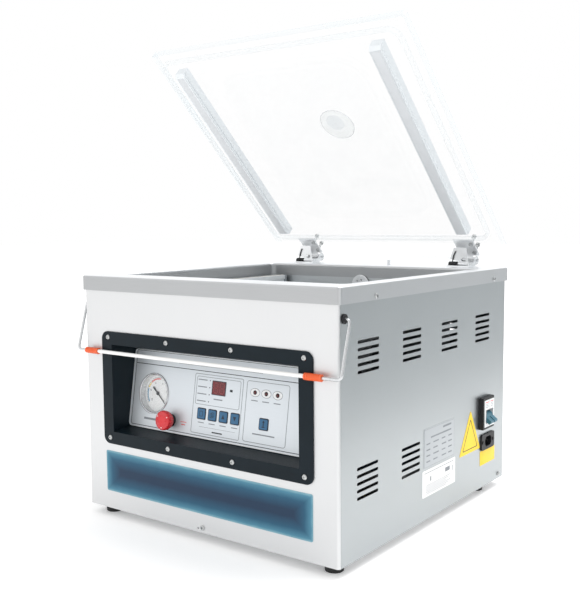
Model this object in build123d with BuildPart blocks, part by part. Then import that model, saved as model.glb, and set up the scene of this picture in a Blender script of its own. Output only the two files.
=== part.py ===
from build123d import *
from math import asin, atan2, cos, degrees, radians, sin, sqrt
import os

os.makedirs("parts", exist_ok=True)

# Tabletop vacuum chamber sealer with a hinged clear lid and two seal bars.
# Millimetres. X to the right, Y to the back, Z up from the bench. Lid open, bail hanging.

# ---------------------------------------------------------------- driving dimensions
front = -271.5                 # Y of the deck's front edge; depths are measured back from it
deck_width = 490
deck_depth = 530
deck_top = 384
lip_height = 23
deck_sheet = 2
sheet = 1.5
half_width = deck_width / 2 - 4          # outer face of the side panels
panel_y = front + 2.4                    # outer face of the front panel
rear_y = front + deck_depth - 2.4        # outer face of the rear panel
foot_height = 14.7
panel_top = deck_top - deck_sheet - 1.5

chamber_x = 219                          # half width of the chamber's mouth
chamber_front = front + 51
chamber_rear = front + 463
chamber_depth = 80
chamber_wall = 3
chamber_radius = 10
rim_radius = 4
chamber_mid = (chamber_front + chamber_rear) / 2
chamber_long = chamber_rear - chamber_front
chamber_floor = deck_top - chamber_depth

lid_open = 43                            # degrees between the open and the closed lid
hinge_y = front + 538
hinge_z = deck_top + 10                  # the closed lid's underside lies on the axle's level
hinge_x = 168
lid_half = 244
lid_thick = 13.4
lid_front = -515.4                       # lid outline, measured from the axle
lid_back = 8.6
axle_radius = 3

lifter_y = front + 508                   # pivot of the spring-loaded lid lifters
lifter_z = deck_top + 4.5
lifter_long = 28.6
lifter_pin = 1.5

seal_x = 190                             # seal bars, from the middle
seal_width = 20
seal_top = 362

bezel_half = 202
bezel_low = 120
bezel_high = 298
recess_half = 179.5
recess_low = 140
recess_high = 278
plate_tilt = radians(9.14)
plate_y = front + 31                     # lower edge of the control plate's face
plate_z = 145.4
plate_long = 122.5
plate_thick = 2

bail_x = 250.4
bail_y = front + 15
bail_z = 342
bar_y = front - 6
bar_z = 266.5
wire_radius = 2.25

running = 0.05                           # radial clearance of pins in their bores

# ---------------------------------------------------------------- planes
plate_plane = Plane(
    origin=(0, plate_y, plate_z), x_dir=(1, 0, 0), z_dir=(0, -cos(plate_tilt), sin(plate_tilt))
)
lid_plane = Plane(
    origin=(0, hinge_y, hinge_z),
    x_dir=(1, 0, 0),
    z_dir=(0, sin(radians(lid_open)), cos(radians(lid_open))),
)


def front_plane(y):
    """Upright plane at depth y: local x and y are X and Z, the normal points forward."""
    return Plane.XZ.offset(-y)


def side_plane(x):
    """Upright plane at width x: local x and y are Y and Z, the normal points right."""
    return Plane.YZ.offset(x)


def level(z):
    """Level plane at height z."""
    return Plane.XY.offset(z)


# ---------------------------------------------------------------- base, feet and panels
foot_spots = [(x, front + d) for x in (-215, 215) for d in (30, 468)]
foot_stud = 2.5
screw_hole = 2.1
front_screw_spot = (2.7, 22.4)
skirt_screw_spots = [(front + 505.6, 23.4)]
rear_screw_spots = [(x, z) for x in (-225, 225) for z in (26, 196, 352)]

with BuildPart() as base_pan:
    pan_size = (2 * (half_width - sheet) - 0.2, rear_y - panel_y - 2 * sheet - 0.2)
    pan_mid = (panel_y + rear_y) / 2
    with BuildSketch(level(foot_height)):
        with Locations((0, pan_mid)):
            RectangleRounded(*pan_size, 3)
    extrude(amount=20)
    with BuildSketch(level(foot_height + 2)):
        with Locations((0, pan_mid)):
            RectangleRounded(pan_size[0] - 3, pan_size[1] - 3, 2)
    extrude(amount=20, mode=Mode.SUBTRACT)
    with BuildSketch(level(foot_height)):
        with Locations(*foot_spots):
            Circle(foot_stud + 0.2)
        for x in (-120, 0, 120):
            with Locations((x, pan_mid)):
                with GridLocations(0, 14, 1, 9):
                    SlotOverall(70, 5)
    extrude(amount=2, mode=Mode.SUBTRACT)
    with BuildSketch(side_plane(half_width)):
        with Locations(*skirt_screw_spots):
            Circle(screw_hole)
    extrude(amount=-2 * half_width, mode=Mode.SUBTRACT)
    with BuildSketch(front_plane(panel_y)):
        with Locations(front_screw_spot):
            Circle(screw_hole)
    extrude(amount=-8, mode=Mode.SUBTRACT)
    with BuildSketch(front_plane(rear_y)):
        with Locations(*rear_screw_spots[0::3]):
            Circle(screw_hole)
    extrude(amount=8, mode=Mode.SUBTRACT)
base_pan.part.label = "base_pan"
export_step(base_pan.part, "parts/base_pan.step")

with BuildPart() as rubber_feet:
    with BuildSketch(level(foot_height)):
        with Locations(*foot_spots):
            Circle(14)
    extrude(amount=-foot_height, taper=4)
    fillet(rubber_feet.edges().filter_by(GeomType.CIRCLE).group_by(Axis.Z)[0], 1.5)
    with BuildSketch(level(foot_height)):
        with Locations(*foot_spots):
            Circle(foot_stud)
    extrude(amount=9)
    with BuildSketch(level(foot_height + 2)):
        with Locations(*foot_spots):
            RegularPolygon(5, 6)
    extrude(amount=4)
rubber_feet.part.label = "rubber_feet"
export_step(rubber_feet.part, "parts/rubber_feet.step")

bezel_screw_spots = [(x, z) for x in (-188, -62.7, 62.7, 188) for z in (130, 289)]
return_depth = 4.4

with BuildPart() as front_panel:
    with BuildSketch(level(foot_height)):
        with Locations((0, panel_y + return_depth / 2)):
            outline = Rectangle(2 * half_width, return_depth)
        fillet(outline.vertices().group_by(Axis.Y)[0], 4)
        with Locations((0, panel_y + sheet + return_depth / 2)):
            inside = Rectangle(2 * (half_width - sheet), return_depth, mode=Mode.SUBTRACT)
    extrude(amount=panel_top - foot_height)
    with BuildSketch(front_plane(panel_y)):
        with Locations((0, (recess_low + recess_high) / 2)):
            Rectangle(2 * recess_half + 8, recess_high - recess_low + 12)
        with Locations(*bezel_screw_spots):
            Circle(screw_hole)
        with Locations(front_screw_spot):
            Circle(screw_hole)
        with Locations((-6, 20.3)):
            Circle(1.6)
    extrude(amount=-sheet, mode=Mode.SUBTRACT)
front_panel.part.label = "front_panel"
export_step(front_panel.part, "parts/front_panel.step")

louvre_long = 54.5
louvre_high = 4.5
louvre_pitch = 10.1
upper_louvres = [(front + d, 287.8) for d in (75, 195, 315, 435)]
lower_louvres = [(front + d, 117.6) for d in (73, 193)]
lip_screw_spots = [(front + d, 366.6) for d in (88, 469.5)]
side_start = panel_y + return_depth + 0.4
side_end = rear_y - return_depth - 0.4
breaker_y, breaker_z = front + 447, 143
inlet_y, inlet_z = front + 457, 92
bush_radius = 4.5

for side, name in ((-1, "left_side_panel"), (1, "right_side_panel")):
    with BuildPart() as side_panel:
        with BuildSketch(side_plane(side * half_width)):
            with Locations(((side_start + side_end) / 2, (foot_height + panel_top) / 2)):
                Rectangle(side_end - side_start, panel_top - foot_height)
            for middle in upper_louvres + lower_louvres:
                with Locations(middle):
                    with GridLocations(0, louvre_pitch, 1, 5):
                        SlotOverall(louvre_long, louvre_high, mode=Mode.SUBTRACT)
            with Locations(*lip_screw_spots, *skirt_screw_spots):
                Circle(screw_hole, mode=Mode.SUBTRACT)
            with Locations((bail_y, bail_z)):
                Circle(bush_radius + 0.1, mode=Mode.SUBTRACT)
            if side > 0:
                with Locations((breaker_y, breaker_z)):
                    Rectangle(37, 46, mode=Mode.SUBTRACT)
                with Locations((inlet_y, inlet_z)):
                    Rectangle(31, 23, mode=Mode.SUBTRACT)
                with Locations((inlet_y - 20, inlet_z), (inlet_y + 20, inlet_z)):
                    Circle(1.6, mode=Mode.SUBTRACT)
        extrude(amount=-side * sheet)
    side_panel.part.label = name
    export_step(side_panel.part, f"parts/{name}.step")

with BuildPart() as rear_panel:
    with BuildSketch(level(foot_height)):
        with Locations((0, rear_y - return_depth / 2)):
            outline = Rectangle(2 * half_width, return_depth)
        fillet(outline.vertices().group_by(Axis.Y)[-1], 4)
        with Locations((0, rear_y - sheet - return_depth / 2)):
            inside = Rectangle(2 * (half_width - sheet), return_depth, mode=Mode.SUBTRACT)
    extrude(amount=panel_top - foot_height)
    with BuildSketch(front_plane(rear_y)):
        for x in (-120, 0, 120):
            for z in (90, 287.8):
                with Locations((x, z)):
                    with GridLocations(0, louvre_pitch, 1, 5):
                        SlotOverall(louvre_long + 14, louvre_high)
        with Locations(*rear_screw_spots):
            Circle(screw_hole)
    extrude(amount=sheet, mode=Mode.SUBTRACT)
rear_panel.part.label = "rear_panel"
export_step(rear_panel.part, "parts/rear_panel.step")

# ---------------------------------------------------------------- deck and chamber
deck_mid = front + deck_depth / 2
switch_x, switch_y = 21, front + 505
switch_radius = 3


def deck_block(inset, drop):
    """The deck's outline with its mouth, inset by a sheet thickness and lowered by drop."""
    rise = lip_height - drop
    with BuildPart() as block:
        with BuildSketch(level(deck_top - lip_height)):
            with Locations((0, deck_mid)):
                RectangleRounded(deck_width - 2 * inset, deck_depth - 2 * inset, 5 - inset)
            with Locations((0, chamber_mid)):
                RectangleRounded(
                    2 * (chamber_x + inset),
                    chamber_long + 2 * inset,
                    chamber_radius + inset,
                    mode=Mode.SUBTRACT,
                )
        extrude(amount=rise)
        top = block.faces().sort_by(Axis.Z)[-1]
        fillet(top.inner_wires()[0].edges(), rim_radius - inset)
        top = block.faces().sort_by(Axis.Z)[-1]
        fillet(top.outer_wire().edges(), 3 - inset)
    return block.part


deck_outside = deck_block(0, 0)
deck_inside = deck_block(deck_sheet, deck_sheet)

with BuildPart() as top_deck:
    add(deck_outside)
    add(deck_inside, mode=Mode.SUBTRACT)
    for side in (-1, 1):
        with BuildSketch(side_plane(side * deck_width / 2)):
            with Locations(*lip_screw_spots):
                Circle(screw_hole)
        extrude(amount=-side * deck_sheet, mode=Mode.SUBTRACT)
    with BuildSketch(level(deck_top)):
        with Locations((switch_x, switch_y)):
            Circle(switch_radius + 0.3)
    extrude(amount=-deck_sheet, mode=Mode.SUBTRACT)
top_deck.part.label = "top_deck"
export_step(top_deck.part, "parts/top_deck.step")

rod_radius = 6
rod_spots = [(side * seal_x, front + d) for side in (-1, 1) for d in (135, 380)]
suction_x, suction_z = -13.5, 348.5

with BuildPart() as vacuum_chamber:
    with BuildSketch(level(chamber_floor - chamber_wall)):
        with Locations((0, chamber_mid)):
            RectangleRounded(
                2 * (chamber_x + chamber_wall),
                chamber_long + 2 * chamber_wall,
                chamber_radius + chamber_wall,
            )
    extrude(amount=deck_top - lip_height - chamber_floor + chamber_wall)
    fillet(vacuum_chamber.faces().sort_by(Axis.Z)[0].edges(), 9)
    with BuildPart(mode=Mode.PRIVATE) as chamber_void:
        with BuildSketch(level(chamber_floor)):
            with Locations((0, chamber_mid)):
                RectangleRounded(2 * chamber_x, chamber_long, chamber_radius)
        extrude(amount=deck_top - lip_height - chamber_floor)
        fillet(chamber_void.faces().sort_by(Axis.Z)[0].edges(), 7)
    add(chamber_void.part, mode=Mode.SUBTRACT)
    with BuildSketch(level(chamber_floor)):
        with Locations(*rod_spots):
            Circle(rod_radius + 1)
    extrude(amount=-chamber_wall, mode=Mode.SUBTRACT)
    with BuildSketch(front_plane(chamber_rear)):
        with Locations((suction_x, suction_z)):
            Circle(8)
    extrude(amount=-chamber_wall, mode=Mode.SUBTRACT)
vacuum_chamber.part.label = "vacuum_chamber"
export_step(vacuum_chamber.part, "parts/vacuum_chamber.step")

with BuildPart() as suction_cover:
    with BuildSketch(front_plane(chamber_rear - 2.5)):
        with Locations((suction_x, suction_z)):
            Circle(18)
    extrude(amount=1.5)
    chamfer(suction_cover.faces().sort_by(Axis.Y)[0].edges(), 0.6)
    with BuildSketch(front_plane(chamber_rear - 4)):
        with Locations((suction_x, suction_z)):
            with PolarLocations(9, 6, 15):
                Circle(1.6)
    extrude(amount=-1.5, mode=Mode.SUBTRACT)
    with BuildSketch(front_plane(chamber_rear)):
        with Locations((suction_x, suction_z - 14), (suction_x, suction_z + 14)):
            Circle(1.8)
    extrude(amount=4.8)
suction_cover.part.label = "suction_cover"
export_step(suction_cover.part, "parts/suction_cover.step")

# ---------------------------------------------------------------- control bezel and plate
bezel_proud = 2.6
bezel_face = panel_y - bezel_proud
up_y, up_z = sin(plate_tilt), cos(plate_tilt)


def plate_point(s, h):
    """Y and Z of the point s up the control plate and h proud of its face."""
    return (plate_y + s * up_y - h * up_z, plate_z + s * up_z + h * up_y)


with BuildPart() as control_bezel:
    with BuildSketch(front_plane(panel_y)):
        with Locations((0, (bezel_low + bezel_high) / 2)):
            RectangleRounded(2 * bezel_half, bezel_high - bezel_low, 12)
    extrude(amount=bezel_proud)
    chamfer(control_bezel.faces().sort_by(Axis.Y)[0].edges(), 0.8)
    with BuildSketch(side_plane(0)):
        with BuildLine():
            Polyline(
                (panel_y - 1, recess_low - 2.6),
                plate_point(-0.8 - 2.6, -plate_thick - 2.5),
                plate_point(plate_long + 2.8, -plate_thick - 2.5),
                (panel_y - 1, recess_high + 2.6),
                close=True,
            )
        make_face()
    extrude(amount=recess_half + 2.6, both=True)
    with BuildSketch(side_plane(0)):
        with BuildLine():
            Polyline(
                (bezel_face - 1, recess_low),
                plate_point(-0.5, -plate_thick),
                plate_point(plate_long + 0.5, -plate_thick),
                (bezel_face - 1, recess_high),
                close=True,
            )
        make_face()
    extrude(amount=recess_half, both=True, mode=Mode.SUBTRACT)
    with BuildSketch(plate_plane):
        with Locations((0, plate_long / 2)):
            Rectangle(2 * recess_half - 14, plate_long - 14)
    extrude(amount=-plate_thick - 6, mode=Mode.SUBTRACT)
    with BuildSketch(front_plane(bezel_face)):
        with Locations(*bezel_screw_spots):
            Circle(4.6)
    extrude(amount=-1.2, mode=Mode.SUBTRACT)
    with BuildSketch(front_plane(bezel_face)):
        with Locations(*bezel_screw_spots):
            Circle(screw_hole)
    extrude(amount=-bezel_proud, mode=Mode.SUBTRACT)
control_bezel.part.label = "control_bezel"
export_step(control_bezel.part, "parts/control_bezel.step")

gauge_spot = (-129.5, 55.5)
stop_spot = (-88, 19)
window_spot = (2.6, 77.3)
window_size = (26.3, 20.6)
key_side = 16.9
key_spots = {
    "key_program": (-27.1, 36.6),
    "key_select": (-5.6, 36.6),
    "key_up": (15.9, 36.6),
    "key_down": (37.9, 36.6),
    "key_heat": (91.2, 35.8),
}
led_spots = [(x, 78.8) for x in (70.9, 91.2, 111.6)]

with BuildPart() as control_plate:
    with BuildSketch(plate_plane):
        with Locations((0, plate_long / 2)):
            RectangleRounded(2 * recess_half - 1, plate_long, 6)
        with Locations(gauge_spot):
            Circle(30.5, mode=Mode.SUBTRACT)
        with Locations(stop_spot):
            Circle(8.2, mode=Mode.SUBTRACT)
        with Locations(window_spot):
            Rectangle(window_size[0] + 0.4, window_size[1] + 0.4, mode=Mode.SUBTRACT)
        with Locations(*key_spots.values()):
            RectangleRounded(key_side + 0.6, key_side + 0.6, 2.4, mode=Mode.SUBTRACT)
        with Locations(*led_spots):
            Circle(2.7, mode=Mode.SUBTRACT)
    extrude(amount=-plate_thick)
control_plate.part.label = "control_plate"
export_step(control_plate.part, "parts/control_plate.step")

with BuildPart() as display_window:
    with BuildSketch(plate_plane.offset(0.3)):
        with Locations(window_spot):
            RectangleRounded(*window_size, 1)
    extrude(amount=-0.3 - plate_thick)
display_window.part.label = "display_window"
export_step(display_window.part, "parts/display_window.step")

for name, spot in key_spots.items():
    with BuildPart() as key:
        with BuildSketch(plate_plane.offset(0.8)):
            with Locations(spot):
                RectangleRounded(key_side, key_side, 2.2)
        extrude(amount=-2.9)
        with BuildSketch(plate_plane.offset(-2.1)):
            with Locations(spot):
                RectangleRounded(key_side + 2, key_side + 2, 2)
        extrude(amount=-1)
    key.part.label = name
    export_step(key.part, f"parts/{name}.step")

with BuildPart() as indicator_leds:
    with BuildSketch(plate_plane.offset(-7.9)):
        with Locations(*led_spots):
            Circle(2.4)
    extrude(amount=9.1)
    fillet(indicator_leds.faces().sort_by(Axis.Y)[0:3].edges(), 1.6)
indicator_leds.part.label = "indicator_leds"
export_step(indicator_leds.part, "parts/indicator_leds.step")

with BuildPart() as control_board:
    with BuildSketch(plate_plane.offset(-8)):
        with Locations((42, 56)):
            Rectangle(186, 96)
    extrude(amount=-1.6)
    with BuildSketch(plate_plane.offset(-8)):
        with Locations(*key_spots.values()):
            Rectangle(6, 6)
    extrude(amount=4)
    with BuildSketch(plate_plane.offset(-8)):
        with Locations(window_spot):
            Rectangle(29, 22)
    extrude(amount=5.8)
    with BuildSketch(plate_plane.offset(-8)):
        with Locations((-46, 12), (-46, 100), (130, 12), (130, 100)):
            Circle(2.5)
    extrude(amount=8 - plate_thick)
    with BuildSketch(plate_plane.offset(-9.6)):
        with Locations((-20, 60), (10, 30)):
            Rectangle(30, 14)
        with Locations((70, 25), (110, 25)):
            Rectangle(24, 10)
    extrude(amount=-4)
    with BuildSketch(plate_plane.offset(-9.6)):
        with Locations((45, 70), (75, 70), (105, 70)):
            Rectangle(16, 28)
    extrude(amount=-14)
control_board.part.label = "control_board"
export_step(control_board.part, "parts/control_board.step")

# ---------------------------------------------------------------- vacuum gauge
gauge_bore = 28.5
dial_level = -9.7
needle_tilt = -40                        # degrees above level where the needle rests on zero

with BuildPart() as gauge_case:
    with BuildSketch(plate_plane):
        with Locations(gauge_spot):
            Circle(32)
    extrude(amount=1.4)
    fillet(gauge_case.faces().sort_by(Axis.Y)[0].edges(), 0.9)
    with BuildSketch(plate_plane):
        with Locations(gauge_spot):
            Circle(30)
    extrude(amount=-30)
    with BuildSketch(plate_plane.offset(1.4)):
        with Locations(gauge_spot):
            Circle(gauge_bore)
    extrude(amount=-1.4 + dial_level - 0.8, mode=Mode.SUBTRACT)
    with BuildSketch(plate_plane.offset(dial_level - 0.8)):
        with Locations(gauge_spot):
            Circle(26.5)
    extrude(amount=-17.5, mode=Mode.SUBTRACT)
    with BuildSketch(plate_plane.offset(-30)):
        with Locations(gauge_spot):
            Circle(5)
    extrude(amount=-14)
    with BuildSketch(plate_plane.offset(-30)):
        with Locations(gauge_spot):
            RegularPolygon(8, 6)
    extrude(amount=-6)
gauge_case.part.label = "gauge_case"
export_step(gauge_case.part, "parts/gauge_case.step")

with BuildPart() as gauge_dial:
    with BuildSketch(plate_plane.offset(dial_level)):
        with Locations(gauge_spot):
            Circle(gauge_bore - 0.1)
            Circle(1 + running, mode=Mode.SUBTRACT)
    extrude(amount=-0.8)
gauge_dial.part.label = "gauge_dial"
export_step(gauge_dial.part, "parts/gauge_dial.step")

with BuildPart() as gauge_needle:
    with BuildSketch(plate_plane.offset(dial_level + 1.2)):
        with Locations(Location(gauge_spot, needle_tilt)):
            Polygon((-14, -1.5), (-14, 1.5), (0, 0.9), (23.5, 0.35), (23.5, -0.35), (0, -0.9), align=None)
            Circle(3)
    extrude(amount=0.6)
    with BuildSketch(plate_plane.offset(dial_level + 1.8)):
        with Locations(gauge_spot):
            Circle(2.2)
    extrude(amount=0.8)
    with BuildSketch(plate_plane.offset(dial_level + 1.2)):
        with Locations(gauge_spot):
            Circle(1)
    extrude(amount=-6)
gauge_needle.part.label = "gauge_needle"
export_step(gauge_needle.part, "parts/gauge_needle.step")

with BuildPart() as gauge_lens:
    with BuildSketch(plate_plane.offset(-2.6)):
        with Locations(gauge_spot):
            Circle(gauge_bore - 0.05)
    extrude(amount=1.6)
gauge_lens.part.label = "gauge_lens"
export_step(gauge_lens.part, "parts/gauge_lens.step")

# ---------------------------------------------------------------- emergency stop
stem_radius = 4

with BuildPart() as estop_base:
    with BuildSketch(plate_plane):
        with Locations(stop_spot):
            Circle(9.8)
    extrude(amount=2.5)
    chamfer(estop_base.faces().sort_by(Axis.Y)[0].edges(), 0.8)
    with BuildSketch(plate_plane):
        with Locations(stop_spot):
            Circle(8)
    extrude(amount=-14)
    with BuildSketch(plate_plane.offset(-plate_thick)):
        with Locations(stop_spot):
            RegularPolygon(11, 6)
    extrude(amount=-4)
    with BuildSketch(plate_plane.offset(-12)):
        with Locations(stop_spot):
            RectangleRounded(26, 26, 2)
    extrude(amount=-24)
    with BuildSketch(plate_plane.offset(2.5)):
        with Locations(stop_spot):
            Circle(stem_radius + running)
    extrude(amount=-28, mode=Mode.SUBTRACT)
estop_base.part.label = "estop_base"
export_step(estop_base.part, "parts/estop_base.step")

with BuildPart() as estop_stem:
    with BuildSketch(plate_plane.offset(14)):
        with Locations(stop_spot):
            Circle(stem_radius)
    extrude(amount=-32)
estop_stem.part.label = "estop_stem"
export_step(estop_stem.part, "parts/estop_stem.step")

cap_radius = 15
cap_low = 8
cap_high = 20

with BuildPart() as estop_cap:
    with BuildSketch(plate_plane.offset(cap_high)):
        with Locations(stop_spot):
            Circle(cap_radius)
    extrude(amount=-8)
    chamfer(estop_cap.faces().sort_by(Axis.Y)[0].edges(), 1.2)
    with BuildSketch(plate_plane.offset(cap_high - 8)):
        with Locations(stop_spot):
            Circle(cap_radius)
    extrude(amount=cap_low - cap_high + 8, taper=15)
    with BuildSketch(plate_plane.offset(cap_low)):
        with Locations(stop_spot):
            Circle(stem_radius + running)
    extrude(amount=6.2, mode=Mode.SUBTRACT)
    with BuildSketch(plate_plane.offset(cap_high + 1)):
        with Locations(stop_spot):
            with PolarLocations(cap_radius + 0.3, 24):
                Circle(0.9)
    extrude(amount=-8.6, mode=Mode.SUBTRACT)
    with BuildSketch(plate_plane.offset(cap_high)):
        with Locations(stop_spot):
            Circle(8.5)
            Circle(6.5, mode=Mode.SUBTRACT)
    extrude(amount=0.6)
estop_cap.part.label = "estop_cap"
export_step(estop_cap.part, "parts/estop_cap.step")

# ---------------------------------------------------------------- front label and fasteners
with BuildPart() as front_label:
    with BuildSketch(front_plane(panel_y)):
        with Locations((0, 75.5)):
            RectangleRounded(400, 65, 3)
    extrude(amount=0.5)
front_label.part.label = "front_label"
export_step(front_label.part, "parts/front_label.step")

screw_seats = [front_plane(bezel_face + 1.2).shift_origin((x, bezel_face + 1.2, z)) for x, z in bezel_screw_spots]
screw_seats.append(front_plane(panel_y).shift_origin((front_screw_spot[0], panel_y, front_screw_spot[1])))
for side in (-1, 1):
    outward = (side, 0, 0)
    for y, z in lip_screw_spots:
        screw_seats.append(Plane(origin=(side * deck_width / 2, y, z), x_dir=(0, 1, 0), z_dir=outward))
    for y, z in skirt_screw_spots:
        screw_seats.append(Plane(origin=(side * half_width, y, z), x_dir=(0, 1, 0), z_dir=outward))
for x, z in rear_screw_spots:
    screw_seats.append(Plane(origin=(x, rear_y, z), x_dir=(1, 0, 0), z_dir=(0, 1, 0)))

with BuildPart() as panel_screws:
    for seat in screw_seats:
        with BuildSketch(seat):
            Circle(3.8)
        extrude(amount=1.2)
        with BuildSketch(seat.offset(1.2)):
            Circle(3.8)
        extrude(amount=1, taper=45)
        with BuildSketch(seat.offset(2.2)):
            Rectangle(4, 0.9)
            Rectangle(0.9, 4)
        extrude(amount=-1.3, mode=Mode.SUBTRACT)
        with BuildSketch(seat):
            Circle(screw_hole - 0.15)
        extrude(amount=-9)
panel_screws.part.label = "panel_screws"
export_step(panel_screws.part, "parts/panel_screws.step")

# ---------------------------------------------------------------- wire bail
bush_face = half_width + 2.2
wire_end = half_width - 6

with BuildPart() as bail_wire:
    with BuildLine() as wire_line:
        FilletPolyline(
            (-wire_end, bail_y, bail_z),
            (-bail_x, bail_y, bail_z),
            (-bail_x, bar_y, bar_z),
            (bail_x, bar_y, bar_z),
            (bail_x, bail_y, bail_z),
            (wire_end, bail_y, bail_z),
            radius=6.5,
        )
    with BuildSketch(side_plane(-wire_end)):
        with Locations((bail_y, bail_z)):
            Circle(wire_radius)
    sweep(path=wire_line.wire())
    for side in (-1, 1):
        with BuildSketch(side_plane(side * wire_end)):
            with Locations((bail_y, bail_z)):
                Circle(3.6)
        extrude(amount=side * 2.2)
bail_wire.part.label = "bail_wire"
export_step(bail_wire.part, "parts/bail_wire.step")

sleeve_left, sleeve_right = -202.5, 193.5
grip_long = 27

with BuildPart() as bail_sleeve:
    with BuildSketch(side_plane(sleeve_left)):
        with Locations((bar_y, bar_z)):
            Circle(2.9)
            Circle(wire_radius, mode=Mode.SUBTRACT)
    extrude(amount=sleeve_right - sleeve_left)
bail_sleeve.part.label = "bail_sleeve"
export_step(bail_sleeve.part, "parts/bail_sleeve.step")

with BuildPart() as bail_grips:
    for side, start in ((-1, sleeve_left - 0.5), (1, sleeve_right + 0.5)):
        with BuildSketch(side_plane(start)):
            with Locations((bar_y, bar_z)):
                Circle(4.8)
        extrude(amount=side * grip_long)
        for k in range(8):
            with BuildSketch(side_plane(start + side * (2.5 + k * 3))):
                with Locations((bar_y, bar_z)):
                    Circle(4.9)
                    Circle(4.2, mode=Mode.SUBTRACT)
            extrude(amount=side * 1.1, mode=Mode.SUBTRACT)
        with BuildSketch(side_plane(start)):
            with Locations((bar_y, bar_z)):
                Circle(wire_radius)
        extrude(amount=side * grip_long, mode=Mode.SUBTRACT)
bail_grips.part.label = "bail_grips"
export_step(bail_grips.part, "parts/bail_grips.step")

with BuildPart() as bail_bushes:
    for side in (-1, 1):
        with BuildSketch(side_plane(side * half_width)):
            with Locations((bail_y, bail_z)):
                Circle(6.5)
                Circle(wire_radius + running, mode=Mode.SUBTRACT)
        extrude(amount=side * (bush_face - half_width))
        with BuildSketch(side_plane(side * half_width)):
            with Locations((bail_y, bail_z)):
                Circle(bush_radius)
                Circle(wire_radius + running, mode=Mode.SUBTRACT)
        extrude(amount=-side * 3)
bail_bushes.part.label = "bail_bushes"
export_step(bail_bushes.part, "parts/bail_bushes.step")

# ---------------------------------------------------------------- breaker, inlet and plates
surround_proud = 8
nose_face = half_width + surround_proud + 1.5
toggle_x = nose_face - 7
toggle_z = breaker_z - 5
toggle_down = -35                        # degrees below level where the lever points when off

with BuildPart() as breaker_surround:
    with BuildSketch(side_plane(half_width)):
        with Locations((breaker_y, breaker_z)):
            RectangleRounded(44, 54, 2)
            Rectangle(36.4, 45.4, mode=Mode.SUBTRACT)
    extrude(amount=surround_proud)
    chamfer(breaker_surround.faces().sort_by(Axis.X)[-1].outer_wire().edges(), 0.8)
breaker_surround.part.label = "breaker_surround"
export_step(breaker_surround.part, "parts/breaker_surround.step")

with BuildPart() as breaker_body:
    with BuildSketch(side_plane(half_width - 18)):
        with Locations((breaker_y, breaker_z)):
            Rectangle(36, 74)
    extrude(amount=-46)
    with BuildSketch(side_plane(half_width - 18)):
        with Locations((breaker_y, breaker_z)):
            Rectangle(36, 45)
    extrude(amount=nose_face - half_width + 18)
    with BuildSketch(side_plane(nose_face)):
        with Locations((breaker_y, toggle_z)):
            Rectangle(27, 22)
    extrude(amount=-17, mode=Mode.SUBTRACT)
    with BuildSketch(Plane.XZ.offset(-breaker_y)):
        with Locations((toggle_x, toggle_z)):
            Circle(1.5 + running)
    extrude(amount=16, both=True, mode=Mode.SUBTRACT)
breaker_body.part.label = "breaker_body"
export_step(breaker_body.part, "parts/breaker_body.step")

lever_plane = Plane(
    origin=(toggle_x, breaker_y, toggle_z),
    x_dir=(cos(radians(toggle_down)), 0, sin(radians(toggle_down))),
    z_dir=(0, -1, 0),
)

with BuildPart() as breaker_toggle:
    with BuildSketch(lever_plane):
        Circle(6.5)
        with BuildLine():
            Polyline((0, -4), (17, -3.2), (18.5, 0), (17, 3.2), (0, 4), close=True)
        make_face()
    extrude(amount=13, both=True)
    with BuildSketch(lever_plane):
        with Locations((15, 0)):
            Rectangle(16, 14)
    extrude(amount=1.6, both=True, mode=Mode.SUBTRACT)
    with BuildSketch(lever_plane):
        Circle(1.5)
    extrude(amount=15.5, both=True)
breaker_toggle.part.label = "breaker_toggle"
export_step(breaker_toggle.part, "parts/breaker_toggle.step")

inlet_face = half_width + 3

with BuildPart() as power_inlet:
    with BuildSketch(side_plane(half_width)):
        with Locations((inlet_y, inlet_z)):
            RectangleRounded(50, 27, 4)
    extrude(amount=3)
    with BuildSketch(side_plane(half_width)):
        with Locations((inlet_y, inlet_z)):
            Rectangle(30, 22)
    extrude(amount=-22)
    with BuildSketch(side_plane(inlet_face)):
        with Locations((inlet_y, inlet_z)):
            socket = Rectangle(24.5, 16.5)
        chamfer(socket.vertices().group_by(Axis.Z)[0], 4)
    extrude(amount=-17, mode=Mode.SUBTRACT)
    with BuildSketch(side_plane(inlet_face - 17)):
        with Locations((inlet_y - 7, inlet_z - 1.5), (inlet_y + 7, inlet_z - 1.5), (inlet_y, inlet_z + 2.5)):
            Rectangle(2, 4)
    extrude(amount=13)
    with BuildSketch(side_plane(half_width - 22)):
        with Locations((inlet_y - 7, inlet_z), (inlet_y + 7, inlet_z), (inlet_y, inlet_z + 3)):
            Rectangle(1, 6)
    extrude(amount=-9)
    with BuildSketch(side_plane(inlet_face)):
        with Locations((inlet_y - 20, inlet_z), (inlet_y + 20, inlet_z)):
            Circle(3)
    extrude(amount=1.2)
    with BuildSketch(side_plane(half_width)):
        with Locations((inlet_y - 20, inlet_z), (inlet_y + 20, inlet_z)):
            Circle(1.5)
    extrude(amount=-7)
power_inlet.part.label = "power_inlet"
export_step(power_inlet.part, "parts/power_inlet.step")

label_thick = 0.4

with BuildPart() as side_labels:
    with BuildSketch(side_plane(half_width)):
        with Locations((front + 283, 124.5)):
            RectangleRounded(102, 61, 2)
        with Locations((front + 282.5, 70.5)):
            RectangleRounded(109, 41, 2)
        with BuildLine():
            FilletPolyline(
                (front + 352, 85),
                (front + 430, 85),
                (front + 393, 155),
                radius=2.5,
                close=True,
            )
        make_face()
        with Locations((front + 460, 65.5)):
            RectangleRounded(59, 25, 1.5)
    extrude(amount=label_thick)
side_labels.part.label = "side_labels"
export_step(side_labels.part, "parts/side_labels.step")

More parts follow.
